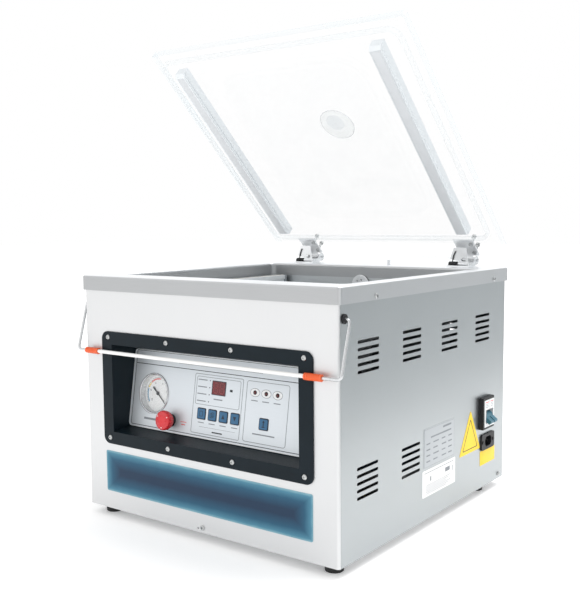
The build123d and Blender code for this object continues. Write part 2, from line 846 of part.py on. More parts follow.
# ---------------------------------------------------------------- lid
leaf_thick = 2.5
leaf_bolt_spots = [(side * hinge_x + 19.5, y) for side in (-1, 1) for y in (-46, -25)]
bolt_radius = 2.5
dome_x, dome_y, dome_mid = 292, 350, -286.4
dome_rise = 12
dome_radius = 55
dome_wall = 8
notch_half = 17.5
notch_depth = 12.5

with BuildPart() as lid:
    with BuildSketch(lid_plane):
        with Locations((0, (lid_front + lid_back) / 2)):
            RectangleRounded(2 * lid_half, lid_back - lid_front, 5)
        for side in (-1, 1):
            with Locations((side * hinge_x, (lid_back - notch_depth) / 2)):
                Rectangle(2 * notch_half, lid_back + notch_depth, mode=Mode.SUBTRACT)
    extrude(amount=lid_thick)
    with BuildSketch(lid_plane.offset(lid_thick)):
        with Locations((0, dome_mid)):
            RectangleRounded(dome_x, dome_y, dome_radius)
    extrude(amount=dome_rise, taper=40)
    with BuildSketch(lid_plane):
        with Locations((0, dome_mid)):
            RectangleRounded(dome_x - 4, dome_y - 4, dome_radius - 2)
    extrude(amount=lid_thick + dome_rise - dome_wall, taper=30, mode=Mode.SUBTRACT)
    with BuildSketch(lid_plane):
        with Locations(*leaf_bolt_spots):
            Circle(bolt_radius + 0.2)
    extrude(amount=lid_thick, mode=Mode.SUBTRACT)
lid.part.label = "lid"
export_step(lid.part, "parts/lid.step")

gasket_x = 232
gasket_front, gasket_rear = -503.4, -60.4
gasket_wide = 6
gasket_high = 9.8

with BuildPart() as lid_gasket:
    with BuildSketch(lid_plane):
        with Locations((0, (gasket_front + gasket_rear) / 2)):
            RectangleRounded(2 * gasket_x, gasket_rear - gasket_front, 22)
            RectangleRounded(
                2 * (gasket_x - gasket_wide),
                gasket_rear - gasket_front - 2 * gasket_wide,
                22 - gasket_wide,
                mode=Mode.SUBTRACT,
            )
    extrude(amount=-gasket_high)
lid_gasket.part.label = "lid_gasket"
export_step(lid_gasket.part, "parts/lid_gasket.step")

bar_front, bar_rear = -483.4, -85
bar_high, bar_low = -10, -19.5
strip_wide = 12

with BuildPart() as pressure_bars:
    for side in (-1, 1):
        with BuildSketch(lid_plane):
            with Locations((side * seal_x, (bar_front + bar_rear) / 2)):
                RectangleRounded(seal_width, bar_rear - bar_front, 1)
        extrude(amount=bar_low)
        with BuildSketch(lid_plane.offset(bar_low)):
            with Locations((side * seal_x, (bar_front + bar_rear) / 2)):
                Rectangle(strip_wide + 0.4, bar_rear - bar_front)
        extrude(amount=3, mode=Mode.SUBTRACT)
        with BuildSketch(lid_plane):
            with Locations((side * seal_x, (bar_front + bar_rear) / 2)):
                Rectangle(seal_width - 4, bar_rear - bar_front - 4)
        extrude(amount=bar_high, mode=Mode.SUBTRACT)
pressure_bars.part.label = "pressure_bars"
export_step(pressure_bars.part, "parts/pressure_bars.step")

with BuildPart() as silicone_strips:
    for side in (-1, 1):
        with BuildSketch(lid_plane.offset(bar_low + 3)):
            with Locations((side * seal_x, (bar_front + bar_rear) / 2)):
                Rectangle(strip_wide, bar_rear - bar_front)
        extrude(amount=-3.5)
silicone_strips.part.label = "silicone_strips"
export_step(silicone_strips.part, "parts/silicone_strips.step")

with BuildPart() as lid_bolts:
    with BuildSketch(lid_plane.offset(-leaf_thick)):
        with Locations(*leaf_bolt_spots):
            Circle(bolt_radius)
    extrude(amount=leaf_thick + lid_thick)
    with BuildSketch(lid_plane.offset(-leaf_thick)):
        with Locations(*leaf_bolt_spots):
            Circle(4)
    extrude(amount=-2)
    with BuildSketch(lid_plane.offset(lid_thick)):
        with Locations(*leaf_bolt_spots):
            RegularPolygon(4.6, 6)
    extrude(amount=3)
    with BuildSketch(lid_plane.offset(lid_thick + 3)):
        with Locations(*leaf_bolt_spots):
            Circle(3.8)
    extrude(amount=3, taper=25)
lid_bolts.part.label = "lid_bolts"
export_step(lid_bolts.part, "parts/lid_bolts.step")

# ---------------------------------------------------------------- hinges
knuckle_half = 11.8
knuckle_radius = 6.5
leaf_left, leaf_right = -12, 25
leaf_start, leaf_end = -57, -16

with BuildPart() as hinge_arms:
    for side in (-1, 1):
        middle = side * hinge_x
        with BuildSketch(lid_plane):
            with Locations((middle + (leaf_left + leaf_right) / 2, (leaf_start + leaf_end) / 2)):
                Rectangle(leaf_right - leaf_left, leaf_end - leaf_start)
            with Locations((middle, leaf_end / 2)):
                Rectangle(2 * knuckle_half, -leaf_end)
        extrude(amount=-leaf_thick)
        with BuildSketch(side_plane(middle - knuckle_half)):
            with Locations((hinge_y, hinge_z)):
                Circle(knuckle_radius)
        extrude(amount=2 * knuckle_half)
        with BuildSketch(side_plane(middle - knuckle_half)):
            with Locations((hinge_y, hinge_z)):
                Circle(axle_radius + running)
        extrude(amount=2 * knuckle_half, mode=Mode.SUBTRACT)
    with BuildSketch(lid_plane):
        with Locations(*leaf_bolt_spots):
            Circle(bolt_radius + 0.2)
    extrude(amount=-leaf_thick, mode=Mode.SUBTRACT)
hinge_arms.part.label = "hinge_arms"
export_step(hinge_arms.part, "parts/hinge_arms.step")

ear_in, ear_out = 12.2, 14.4
ear_radius = 8
lug_radius = 2.6
lug_left = -27
plate_back = front + 527
plate_front = front + 499
foot_plate = 1.8


def ear_points(start):
    """Side outline of one hinge ear from the depth start to the axle."""
    low = lifter_z + lug_radius - 0.1
    return [
        (start, deck_top),
        (start, low),
        (front + 523.5, low),
        (front + 531, deck_top + 15),
        (hinge_y, hinge_z),
        (hinge_y - 3, deck_top + 2.8),
        (plate_back, deck_top),
    ]


with BuildPart() as hinge_bases:
    for side in (-1, 1):
        middle = side * hinge_x
        with BuildSketch(level(deck_top)):
            with Locations((middle - 4.75, (plate_front + plate_back) / 2)):
                Rectangle(44.5, plate_back - plate_front)
            with Locations((middle - 6.45, lifter_y)):
                Rectangle(37.1, 12, mode=Mode.SUBTRACT)
        extrude(amount=foot_plate)
        for ear, start in ((ear_in, lifter_y - lug_radius), (-ear_out, front + 519)):
            with BuildSketch(side_plane(middle + ear)):
                with BuildLine():
                    Polyline(*ear_points(start), close=True)
                make_face()
                with Locations((hinge_y, hinge_z)):
                    Circle(ear_radius)
                    Circle(axle_radius + running, mode=Mode.SUBTRACT)
            extrude(amount=ear_out - ear_in)
        with BuildSketch(side_plane(middle + ear_in)):
            with Locations((lifter_y, lifter_z)):
                Circle(lifter_pin + running)
        extrude(amount=ear_out - ear_in, mode=Mode.SUBTRACT)
        with BuildSketch(side_plane(middle + lug_left)):
            with Locations((lifter_y, lifter_z)):
                Circle(lug_radius)
            with Locations((lifter_y, (deck_top + lifter_z) / 2)):
                Rectangle(2 * lug_radius, lifter_z - deck_top)
            with Locations((lifter_y, lifter_z)):
                Circle(lifter_pin + running, mode=Mode.SUBTRACT)
        extrude(amount=2)
hinge_bases.part.label = "hinge_bases"
export_step(hinge_bases.part, "parts/hinge_bases.step")

with BuildPart() as hinge_pins:
    for side in (-1, 1):
        middle = side * hinge_x
        with BuildSketch(side_plane(middle - ear_out - 2)):
            with Locations((hinge_y, hinge_z)):
                Circle(axle_radius)
        extrude(amount=2 * ear_out + 4)
        with BuildSketch(side_plane(middle + lug_left)):
            with Locations((lifter_y, lifter_z)):
                Circle(lifter_pin)
        extrude(amount=ear_out - lug_left)
hinge_pins.part.label = "hinge_pins"
export_step(hinge_pins.part, "parts/hinge_pins.step")

barrel_radius = 2.6
lifter_thick = 1.6

with BuildPart() as lid_lifters:
    for side in (-1, 1):
        middle = side * hinge_x
        with BuildSketch(front_plane(lifter_y - lifter_thick / 2)):
            with BuildLine():
                Polyline(
                    (middle - 7, lifter_z),
                    (middle - 7, lifter_z + 5.2),
                    (middle - 23, lifter_z + 8.5),
                    (middle - 16, lifter_z + lifter_long),
                    (middle + 8, lifter_z + lifter_long),
                    (middle + 11.8, lifter_z + 7),
                    (middle + 11.8, lifter_z),
                    close=True,
                )
            make_face()
            with Locations((middle + 3, lifter_z + 8)):
                SlotOverall(9, 7, mode=Mode.SUBTRACT)
        extrude(amount=-lifter_thick)
        with BuildSketch(side_plane(middle - 7)):
            with Locations((lifter_y, lifter_z)):
                Circle(barrel_radius)
        extrude(amount=18.8)
        with BuildSketch(side_plane(middle - 7)):
            with Locations((lifter_y, lifter_z)):
                Circle(lifter_pin + running)
        extrude(amount=18.8, mode=Mode.SUBTRACT)
lid_lifters.part.label = "lid_lifters"
export_step(lid_lifters.part, "parts/lid_lifters.step")

coil_outer, coil_inner = 4.2, 2.6
spring_wire = 0.6

with BuildPart() as hinge_springs:
    for side in (-1, 1):
        middle = side * hinge_x
        with BuildSketch(side_plane(middle - 24.5)):
            with Locations((lifter_y, lifter_z)):
                Circle(coil_outer)
                Circle(coil_inner, mode=Mode.SUBTRACT)
        extrude(amount=16.9)
        with BuildSketch(level(lifter_z)):
            with Locations((middle - 18, lifter_y - coil_outer + spring_wire)):
                Circle(spring_wire)
        extrude(amount=21)
        with BuildSketch(front_plane(lifter_y)):
            with Locations((middle - 23, deck_top + 0.9)):
                Circle(spring_wire)
        extrude(amount=5)
hinge_springs.part.label = "hinge_springs"
export_step(hinge_springs.part, "parts/hinge_springs.step")

# ---------------------------------------------------------------- seal bars and lift
seal_front, seal_rear = front + 57, front + 457
block_long = 8
cylinder_low, cylinder_high = 256, chamber_floor - chamber_wall

for side, name in ((-1, "seal_bar_left"), (1, "seal_bar_right")):
    own_rods = [spot for spot in rod_spots if spot[0] * side > 0]
    with BuildPart() as seal_bar:
        with BuildSketch(level(seal_top - 0.6)):
            with Locations((side * seal_x, (seal_front + seal_rear) / 2)):
                Rectangle(seal_width, seal_rear - seal_front - 2 * block_long)
        extrude(amount=-20)
        with BuildSketch(level(seal_top - 8)):
            with Locations((side * seal_x, (seal_front + seal_rear) / 2)):
                with GridLocations(seal_width, 0, 2, 1):
                    Rectangle(5, seal_rear - seal_front)
        extrude(amount=-5, mode=Mode.SUBTRACT)
        for y in (seal_front + block_long / 2, seal_rear - block_long / 2):
            with BuildSketch(level(seal_top - 1.4)):
                with Locations((side * seal_x, y)):
                    RectangleRounded(seal_width - 1, block_long, 2.5)
            extrude(amount=-17)
        with BuildSketch(level(seal_top - 20.6)):
            with Locations(*own_rods):
                Circle(rod_radius)
        extrude(amount=-74)
        with BuildSketch(level(seal_top - 94.6)):
            with Locations(*own_rods):
                Circle(13.9)
        extrude(amount=-5)
    seal_bar.part.label = name
    export_step(seal_bar.part, f"parts/{name}.step")

for side, name in ((-1, "seal_element_left"), (1, "seal_element_right")):
    with BuildPart() as seal_element:
        with BuildSketch(level(seal_top - 0.6)):
            with Locations((side * seal_x, (seal_front + seal_rear) / 2)):
                Rectangle(14, seal_rear - seal_front - 2 * block_long)
        extrude(amount=0.6)
    seal_element.part.label = name
    export_step(seal_element.part, f"parts/{name}.step")

with BuildPart() as lift_cylinders:
    with BuildSketch(level(cylinder_low)):
        with Locations(*rod_spots):
            Circle(17)
    extrude(amount=cylinder_high - cylinder_low)
    with BuildSketch(level(cylinder_low + 5)):
        with Locations(*rod_spots):
            Circle(14)
    extrude(amount=34, mode=Mode.SUBTRACT)
    with BuildSketch(level(cylinder_high)):
        with Locations(*rod_spots):
            Circle(rod_radius + running)
    extrude(amount=-10, mode=Mode.SUBTRACT)
    with BuildSketch(level(cylinder_low)):
        with Locations(*rod_spots):
            Circle(4)
    extrude(amount=-8)
lift_cylinders.part.label = "lift_cylinders"
export_step(lift_cylinders.part, "parts/lift_cylinders.step")

# ---------------------------------------------------------------- lid switch
with BuildPart() as lid_switch_plunger:
    with BuildSketch(level(deck_top - 24)):
        with Locations((switch_x, switch_y)):
            Circle(switch_radius)
    extrude(amount=24 + 9.6)
    fillet(lid_switch_plunger.faces().sort_by(Axis.Z)[-1].edges(), 1.5)
lid_switch_plunger.part.label = "lid_switch_plunger"
export_step(lid_switch_plunger.part, "parts/lid_switch_plunger.step")

with BuildPart() as lid_switch_body:
    with BuildSketch(level(deck_top - deck_sheet)):
        with Locations((switch_x, switch_y)):
            Rectangle(28, 16)
    extrude(amount=-34)
    with BuildSketch(level(deck_top - deck_sheet)):
        with Locations((switch_x, switch_y)):
            Circle(switch_radius + running)
    extrude(amount=-27, mode=Mode.SUBTRACT)
lid_switch_body.part.label = "lid_switch_body"
export_step(lid_switch_body.part, "parts/lid_switch_body.step")

# ---------------------------------------------------------------- pump and other insides
floor_z = foot_height + 2
pump_y = front + 320
pump_z = floor_z + 88

with BuildPart() as vacuum_pump:
    with BuildSketch(side_plane(-160)):
        with Locations((pump_y, pump_z + 2)):
            RectangleRounded(142, 138, 14)
    extrude(amount=150)
    for k in range(9):
        with BuildSketch(side_plane(-150 + k * 15)):
            with Locations((pump_y, pump_z + 2)):
                RectangleRounded(144, 140, 15)
                RectangleRounded(132, 128, 12, mode=Mode.SUBTRACT)
        extrude(amount=6, mode=Mode.SUBTRACT)
    with BuildSketch(level(pump_z + 70)):
        with Locations((-75, pump_y)):
            Circle(14)
    extrude(amount=14)
    with BuildSketch(level(floor_z)):
        with Locations((-140, pump_y), (-30, pump_y)):
            Rectangle(18, 120)
    extrude(amount=26)
vacuum_pump.part.label = "vacuum_pump"
export_step(vacuum_pump.part, "parts/vacuum_pump.step")

with BuildPart() as pump_motor:
    with BuildSketch(side_plane(-10)):
        with Locations((pump_y, pump_z)):
            Circle(60)
    extrude(amount=165)
    fillet(pump_motor.faces().sort_by(Axis.X)[-1].edges(), 10)
    for k in range(24):
        fin = radians(15 * k)
        fin_plane = Plane(
            origin=(5, pump_y, pump_z), x_dir=(1, 0, 0), z_dir=(0, cos(fin), sin(fin))
        )
        with BuildSketch(fin_plane.offset(58)):
            Rectangle(110, 3, align=(Align.MIN, Align.CENTER))
        extrude(amount=9)
    with BuildSketch(level(floor_z)):
        with Locations((40, pump_y), (120, pump_y)):
            Rectangle(16, 100)
    extrude(amount=34)
    with BuildSketch(level(pump_z + 58)):
        with Locations((60, pump_y)):
            Rectangle(60, 44)
    extrude(amount=24)
pump_motor.part.label = "pump_motor"
export_step(pump_motor.part, "parts/pump_motor.step")

with BuildPart() as exhaust_filter:
    with BuildSketch(level(floor_z)):
        with Locations((-178, front + 440)):
            Circle(30)
    extrude(amount=140)
    fillet(exhaust_filter.faces().sort_by(Axis.Z)[-1].edges(), 8)
    with BuildSketch(level(floor_z + 140)):
        with Locations((-178, front + 440)):
            RegularPolygon(12, 6)
    extrude(amount=10)
exhaust_filter.part.label = "exhaust_filter"
export_step(exhaust_filter.part, "parts/exhaust_filter.step")

with BuildPart() as transformer:
    with BuildSketch(level(floor_z)):
        with Locations((150, front + 150)):
            Rectangle(96, 40)
    extrude(amount=82)
    with BuildSketch(level(floor_z + 14)):
        with Locations((150, front + 150)):
            RectangleRounded(60, 78, 8)
    extrude(amount=54)
    with BuildSketch(level(floor_z)):
        with Locations((150, front + 150)):
            Rectangle(96, 84)
    extrude(amount=3)
transformer.part.label = "transformer"
export_step(transformer.part, "parts/transformer.step")

valve_x, valve_y = -150, front + 150

with BuildPart() as valve_block:
    with BuildSketch(level(floor_z)):
        with Locations((valve_x, valve_y)):
            Rectangle(110, 46)
    extrude(amount=40)
    with BuildSketch(level(floor_z + 40)):
        with Locations(*[(valve_x + x, valve_y) for x in (-34, 0, 34)]):
            RectangleRounded(26, 34, 3)
    extrude(amount=42)
valve_block.part.label = "valve_block"
export_step(valve_block.part, "parts/valve_block.step")

suction_pipe = [
    (suction_x, chamber_rear + chamber_wall, suction_z),
    (suction_x, front + 497, suction_z),
    (suction_x, front + 497, 250),
    (suction_x - 51, front + 440, 220),
    (-75, pump_y, 220),
    (-75, pump_y, pump_z + 84),
]
gauge_stem = plate_point(gauge_spot[1], -44)
gauge_turn = plate_point(gauge_spot[1], -68)
gauge_pipe = [
    (gauge_spot[0], *gauge_stem),
    (gauge_spot[0], *gauge_turn),
    (gauge_spot[0], gauge_turn[0], floor_z + 20),
    (gauge_spot[0], valve_y - 23, floor_z + 20),
]
lift_pipe = [
    (rod_spots[0][0], rod_spots[0][1], cylinder_low - 8),
    (rod_spots[0][0], rod_spots[0][1], 214),
    (rod_spots[0][0] - 30, valve_y, 170),
    (rod_spots[0][0] - 30, valve_y, floor_z + 20),
    (valve_x - 55, valve_y, floor_z + 20),
]


def pipe(points, radius, bend):
    """One hose along its points with rounded corners."""
    with BuildPart() as hose:
        with BuildLine() as route:
            FilletPolyline(*points, radius=bend)
        with BuildSketch(Plane(origin=route.line @ 0, z_dir=route.line % 0)):
            Circle(radius)
        sweep(path=route.wire())
    return hose.part


suction_hose = pipe(suction_pipe, 9, 16)
gauge_hose = pipe(gauge_pipe, 3, 8)
lift_hose = pipe(lift_pipe, 3, 8)

with BuildPart() as air_hoses:
    add(suction_hose)
    add(gauge_hose)
    add(lift_hose)
air_hoses.part.label = "air_hoses"
export_step(air_hoses.part, "parts/air_hoses.step")
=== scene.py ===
import math

import bmesh
import bpy
from mathutils import Matrix, Vector


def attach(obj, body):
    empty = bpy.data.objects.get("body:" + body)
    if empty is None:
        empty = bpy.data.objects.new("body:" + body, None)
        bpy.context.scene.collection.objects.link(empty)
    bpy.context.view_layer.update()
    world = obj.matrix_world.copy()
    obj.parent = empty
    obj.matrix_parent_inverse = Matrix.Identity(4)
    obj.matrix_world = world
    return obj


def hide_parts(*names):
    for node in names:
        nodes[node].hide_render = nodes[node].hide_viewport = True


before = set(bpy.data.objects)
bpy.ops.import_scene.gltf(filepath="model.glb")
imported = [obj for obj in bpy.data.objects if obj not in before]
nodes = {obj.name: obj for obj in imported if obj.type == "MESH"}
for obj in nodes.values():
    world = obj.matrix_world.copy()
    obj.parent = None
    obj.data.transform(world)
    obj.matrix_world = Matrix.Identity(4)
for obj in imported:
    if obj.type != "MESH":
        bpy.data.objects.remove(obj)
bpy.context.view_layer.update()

MM = 0.001

# ---------------------------------------------------------------- dimensions, mm and degrees
front = -271.5
half_width = 241
plate_tilt = 9.14
lid_open = 43
hinge_x, hinge_y, hinge_z = 168, front + 538, 394
lid_front, lid_back, lid_thick = -515.4, 8.6, 13.4
lid_mid = (lid_back + lid_front) / 2
dome_mid = -286.4
bar_x = 190
gauge_spot = (-129.5, 55.5)
stop_spot = (-88, 19)
lamp_row = (70.9, 91.2, 111.6)
camera_place = (0.85277, -1.19225, 0.46832)
camera_yaw, camera_pitch, camera_roll = 36.690, 5.193, -0.461
camera_lens = 52.8


# ---------------------------------------------------------------- frames
def placed(origin, xdir, zdir):
    """Matrix from local millimetres to the row frame in metres."""
    x = Vector(xdir).normalized()
    z = Vector(zdir).normalized()
    y = z.cross(x)
    turn = Matrix((x, y, z)).transposed().to_4x4()
    return Matrix.Scale(MM, 4) @ Matrix.Translation(Vector(origin)) @ turn


tilt = math.radians(plate_tilt)
opened = math.radians(lid_open)
WORLD = placed((0, 0, 0), (1, 0, 0), (0, 0, 1))
PLATE = placed((0, front + 31, 145.4), (1, 0, 0), (0, -math.cos(tilt), math.sin(tilt)))
LID = placed((0, hinge_y, hinge_z), (1, 0, 0), (0, math.sin(opened), math.cos(opened)))
RIGHT = placed((half_width, 0, 0), (0, 1, 0), (1, 0, 0))


def at(where, x, y, z=0.0, turn=0.0):
    return where @ Matrix.Translation((x, y, z)) @ Matrix.Rotation(math.radians(turn), 4, "Z")


# ---------------------------------------------------------------- node helpers
def new_mat(name, base, rough, metal=0.0):
    mat = bpy.data.materials.new(name)
    mat.use_nodes = True
    tree = mat.node_tree
    tree.nodes.clear()
    out = tree.nodes.new("ShaderNodeOutputMaterial")
    bsdf = tree.nodes.new("ShaderNodeBsdfPrincipled")
    tree.links.new(bsdf.outputs[0], out.inputs[0])
    bsdf.inputs["Base Color"].default_value = (*base, 1)
    bsdf.inputs["Roughness"].default_value = rough
    bsdf.inputs["Metallic"].default_value = metal
    mat.diffuse_color = (*base, 1)
    return mat, tree, bsdf


def noise(tree, scale, detail=3.0, stretch=(1, 1, 1), rough=0.5):
    coord = tree.nodes.new("ShaderNodeTexCoord")
    mapping = tree.nodes.new("ShaderNodeMapping")
    mapping.inputs["Scale"].default_value = stretch
    tex = tree.nodes.new("ShaderNodeTexNoise")
    tex.inputs["Scale"].default_value = scale
    tex.inputs["Detail"].default_value = detail
    tex.inputs["Roughness"].default_value = rough
    tree.links.new(coord.outputs["Object"], mapping.inputs[0])
    tree.links.new(mapping.outputs[0], tex.inputs["Vector"])
    return tex.outputs["Fac"]


def ramp(tree, fac, stops):
    node = tree.nodes.new("ShaderNodeValToRGB")
    items = node.color_ramp.elements
    while len(items) < len(stops):
        items.new(0.5)
    for item, (pos, col) in zip(items, stops):
        item.position = pos
        item.color = (*col, 1)
    tree.links.new(fac, node.inputs[0])
    return node.outputs[0]


def span(tree, value, low, high, lo_in=0.3, hi_in=0.7):
    node = tree.nodes.new("ShaderNodeMapRange")
    node.inputs["From Min"].default_value = lo_in
    node.inputs["From Max"].default_value = hi_in
    node.inputs["To Min"].default_value = low
    node.inputs["To Max"].default_value = high
    tree.links.new(value, node.inputs[0])
    return node.outputs[0]


def bump(tree, bsdf, height, strength, distance):
    node = tree.nodes.new("ShaderNodeBump")
    node.inputs["Strength"].default_value = strength
    node.inputs["Distance"].default_value = distance
    tree.links.new(height, node.inputs["Height"])
    tree.links.new(node.outputs[0], bsdf.inputs["Normal"])


def shade(base, k):
    return tuple(max(0.0, min(1.0, c * k)) for c in base)


def brushed(name, base, rough, grain, spread=0.05, metal=1.0):
    """Brushed or satin sheet: fine streaks along one direction, and cloudy patches."""
    mat, tree, bsdf = new_mat(name, base, rough, metal)
    streak = noise(tree, 1.0, 4.0, grain, 0.65)
    cloud = noise(tree, 9.0, 2.0)
    both = tree.nodes.new("ShaderNodeMath")
    both.operation = "MULTIPLY_ADD"
    tree.links.new(cloud, both.inputs[0])
    both.inputs[1].default_value = 0.35
    tree.links.new(streak, both.inputs[2])
    colour = ramp(tree, both.outputs[0], [(0.38, shade(base, 1 - spread)), (0.95, shade(base, 1 + spread))])
    tree.links.new(colour, bsdf.inputs["Base Color"])
    tree.links.new(span(tree, streak, rough - 0.05, rough + 0.06), bsdf.inputs["Roughness"])
    bump(tree, bsdf, streak, 0.06, 0.0002)
    return mat


def moulded(name, base, rough, spread=0.06, grain=900.0, depth=0.08, coat=0.0):
    """Moulded plastic, rubber or paint: faint mottling and a fine grain."""
    mat, tree, bsdf = new_mat(name, base, rough)
    fine = noise(tree, grain, 2.0)
    cloud = noise(tree, 40.0, 3.0)
    colour = ramp(tree, cloud, [(0.3, shade(base, 1 - spread)), (0.7, shade(base, 1 + spread))])
    tree.links.new(colour, bsdf.inputs["Base Color"])
    tree.links.new(span(tree, fine, rough - 0.05, rough + 0.07), bsdf.inputs["Roughness"])
    bump(tree, bsdf, fine, depth, 0.0002)
    bsdf.inputs["Coat Weight"].default_value = coat
    return mat


def polished(name, base, rough):
    """Polished metal with faint clouding."""
    mat, tree, bsdf = new_mat(name, base, rough, 1.0)
    cloud = noise(tree, 120.0, 3.0)
    tree.links.new(ramp(tree, cloud, [(0.3, shade(base, 0.93)), (0.7, base)]), bsdf.inputs["Base Color"])
    tree.links.new(span(tree, cloud, rough, rough + 0.1), bsdf.inputs["Roughness"])
    return mat


def sheer(name, tint, rough, low, high, grain=(25, 25, 25)):
    """Clear acrylic as a thin veil: mostly see-through, with soft uneven reflections."""
    mat, tree, bsdf = new_mat(name, tint, rough)
    haze = noise(tree, 1.0, 1.0, grain)
    tree.links.new(span(tree, haze, rough, rough + 0.05), bsdf.inputs["Roughness"])
    tree.links.new(ramp(tree, haze, [(0.3, shade(tint, 0.94)), (0.7, tint)]), bsdf.inputs["Base Color"])
    tree.links.new(span(tree, haze, low, high), bsdf.inputs["Alpha"])
    return mat


def hazy(name, tint, alpha):
    """Print or film that lets the lid show through."""
    mat, tree, bsdf = new_mat(name, tint, 0.5)
    bsdf.inputs["Alpha"].default_value = alpha
    cloud = noise(tree, 200.0, 2.0)
    tree.links.new(ramp(tree, cloud, [(0.3, shade(tint, 0.97)), (0.7, tint)]), bsdf.inputs["Base Color"])
    return mat


M = {
    # Front and side panels: one sheet steel given two base colours, lighter on the front as painted light and
    # darker on the sides and rear as painted shade.
    "front": brushed("satin_front", (0.69, 0.695, 0.70), 0.5, (2600, 2600, 35), 0.03),
    "side": brushed("brushed_side", (0.45, 0.475, 0.485), 0.36, (900, 45, 2400), 0.035),
    "deck": brushed("brushed_deck", (0.56, 0.57, 0.58), 0.34, (30, 900, 2400), 0.05),
    "tub": brushed("brushed_tub", (0.58, 0.60, 0.61), 0.36, (30, 900, 1500), 0.05),
    "pan": brushed("pan_steel", (0.55, 0.56, 0.57), 0.45, (30, 900, 1500), 0.05),
    "bezel": moulded("bezel_plastic", (0.006, 0.012, 0.017), 0.34, 0.1, 700.0, 0.1),
    "plate": brushed("plate_foil", (0.67, 0.71, 0.745), 0.46, (40, 900, 1500), 0.03, 0.55),
    "print": moulded("print_dark", (0.03, 0.035, 0.04), 0.5, 0.1),
    "print_grey": moulded("print_grey", (0.22, 0.24, 0.26), 0.5, 0.1),
    "print_white": moulded("print_white", (0.85, 0.86, 0.86), 0.45, 0.02),
    "display": moulded("display_red", (0.14, 0.008, 0.012), 0.12, 0.1, 300.0, 0.02, 0.6),
    "segment": moulded("display_segment", (0.22, 0.02, 0.025), 0.3, 0.05),
    "chrome": polished("chrome_ring", (0.55, 0.56, 0.58), 0.16),
    "wire": polished("wire_chrome", (0.62, 0.63, 0.64), 0.2),
    "nickel": polished("screw_nickel", (0.52, 0.53, 0.53), 0.22),
    "dial": moulded("dial_white", (0.86, 0.87, 0.87), 0.55, 0.02),
    "bore": moulded("gauge_bore", (0.62, 0.64, 0.65), 0.45, 0.04),
    "black": moulded("black_plastic", (0.012, 0.012, 0.014), 0.42, 0.1),
    "rubber": moulded("black_rubber", (0.015, 0.015, 0.016), 0.75, 0.15, 500.0, 0.25),
    "red": moulded("stop_red", (0.62, 0.012, 0.02), 0.3, 0.06, 700.0, 0.06, 0.3),
    # Darker red for the underside of the stop button: painted shade.
    "red_painted_under_shade": moulded("stop_dark", (0.16, 0.006, 0.01), 0.5, 0.06),
    "arc_red": moulded("arc_red", (0.7, 0.05, 0.04), 0.5, 0.03),
    "arc_yellow": moulded("arc_yellow", (0.82, 0.62, 0.1), 0.5, 0.03),
    "arc_blue": moulded("arc_blue", (0.06, 0.25, 0.42), 0.5, 0.03),
    "key": moulded("key_blue", (0.022, 0.125, 0.255), 0.42, 0.08, 600.0, 0.06, 0.1),
    "key_dark": moulded("key_border", (0.006, 0.018, 0.04), 0.45, 0.1),
    "led": moulded("led_red", (0.09, 0.006, 0.008), 0.15, 0.05, 300.0, 0.02, 0.5),
    "board": moulded("board_green", (0.01, 0.09, 0.04), 0.4, 0.1),
    "sleeve": moulded("sleeve_white", (0.86, 0.86, 0.85), 0.4, 0.02, 500.0, 0.05, 0.2),
    "orange": moulded("grip_orange", (0.83, 0.13, 0.03), 0.4, 0.05, 500.0, 0.1, 0.1),
    "breaker": moulded("breaker_white", (0.8, 0.81, 0.82), 0.4, 0.02, 700.0, 0.05),
    "toggle": moulded("toggle_teal", (0.02, 0.13, 0.19), 0.38, 0.06, 700.0, 0.05, 0.2),
    "yellow": moulded("warning_yellow", (0.90, 0.62, 0.008), 0.42, 0.03, 500.0, 0.03),
    "foil": brushed("label_foil", (0.48, 0.505, 0.525), 0.42, (900, 40, 1500), 0.02, 0.4),
    "paper": moulded("label_white", (0.9, 0.9, 0.9), 0.5, 0.02, 500.0, 0.02),
    "cast": brushed("hinge_silver", (0.80, 0.81, 0.82), 0.36, (60, 60, 60), 0.06),
    "spring": moulded("spring_black", (0.01, 0.01, 0.011), 0.35, 0.1),
    "silicone": moulded("silicone_pale", (0.64, 0.66, 0.68), 0.5, 0.03, 400.0, 0.08),
    "bar": brushed("bar_aluminium", (0.74, 0.77, 0.79), 0.42, (900, 30, 1500), 0.04, 0.5),
    "tape": moulded("seal_tape", (0.60, 0.59, 0.56), 0.5, 0.06, 800.0, 0.2),
    "pump": moulded("pump_grey", (0.3, 0.32, 0.34), 0.5, 0.1, 300.0, 0.3),
    "motor": moulded("motor_blue", (0.03, 0.08, 0.16), 0.4, 0.1),
    "core": brushed("core_steel", (0.25, 0.24, 0.23), 0.5, (400, 400, 2400), 0.15),
    "brass": polished("valve_brass", (0.65, 0.47, 0.2), 0.3),
    "hose": moulded("hose_grey", (0.08, 0.085, 0.095), 0.4, 0.1),
    "lid": sheer("lid_acrylic", (0.97, 0.98, 0.985), 0.08, 0.02, 0.05),
    "lid_edge": sheer("lid_edge", (0.70, 0.77, 0.81), 0.3, 0.12, 0.42, (11, 11, 11)),
    "lid_dome": sheer("lid_dome", (0.86, 0.90, 0.92), 0.1, 0.03, 0.07),
    "veil": sheer("seal_clear", (0.80, 0.84, 0.86), 0.3, 0.16, 0.24),
    "lens": sheer("lens_clear", (0.95, 0.97, 0.98), 0.05, 0.04, 0.06),
    "haze": hazy("sticker_haze", (0.82, 0.85, 0.85), 0.24),
    "haze_blue": hazy("sticker_spot", (0.80, 0.85, 0.89), 0.16),
    "print_line": hazy("sticker_line", (0.6, 0.63, 0.65), 0.4),
}


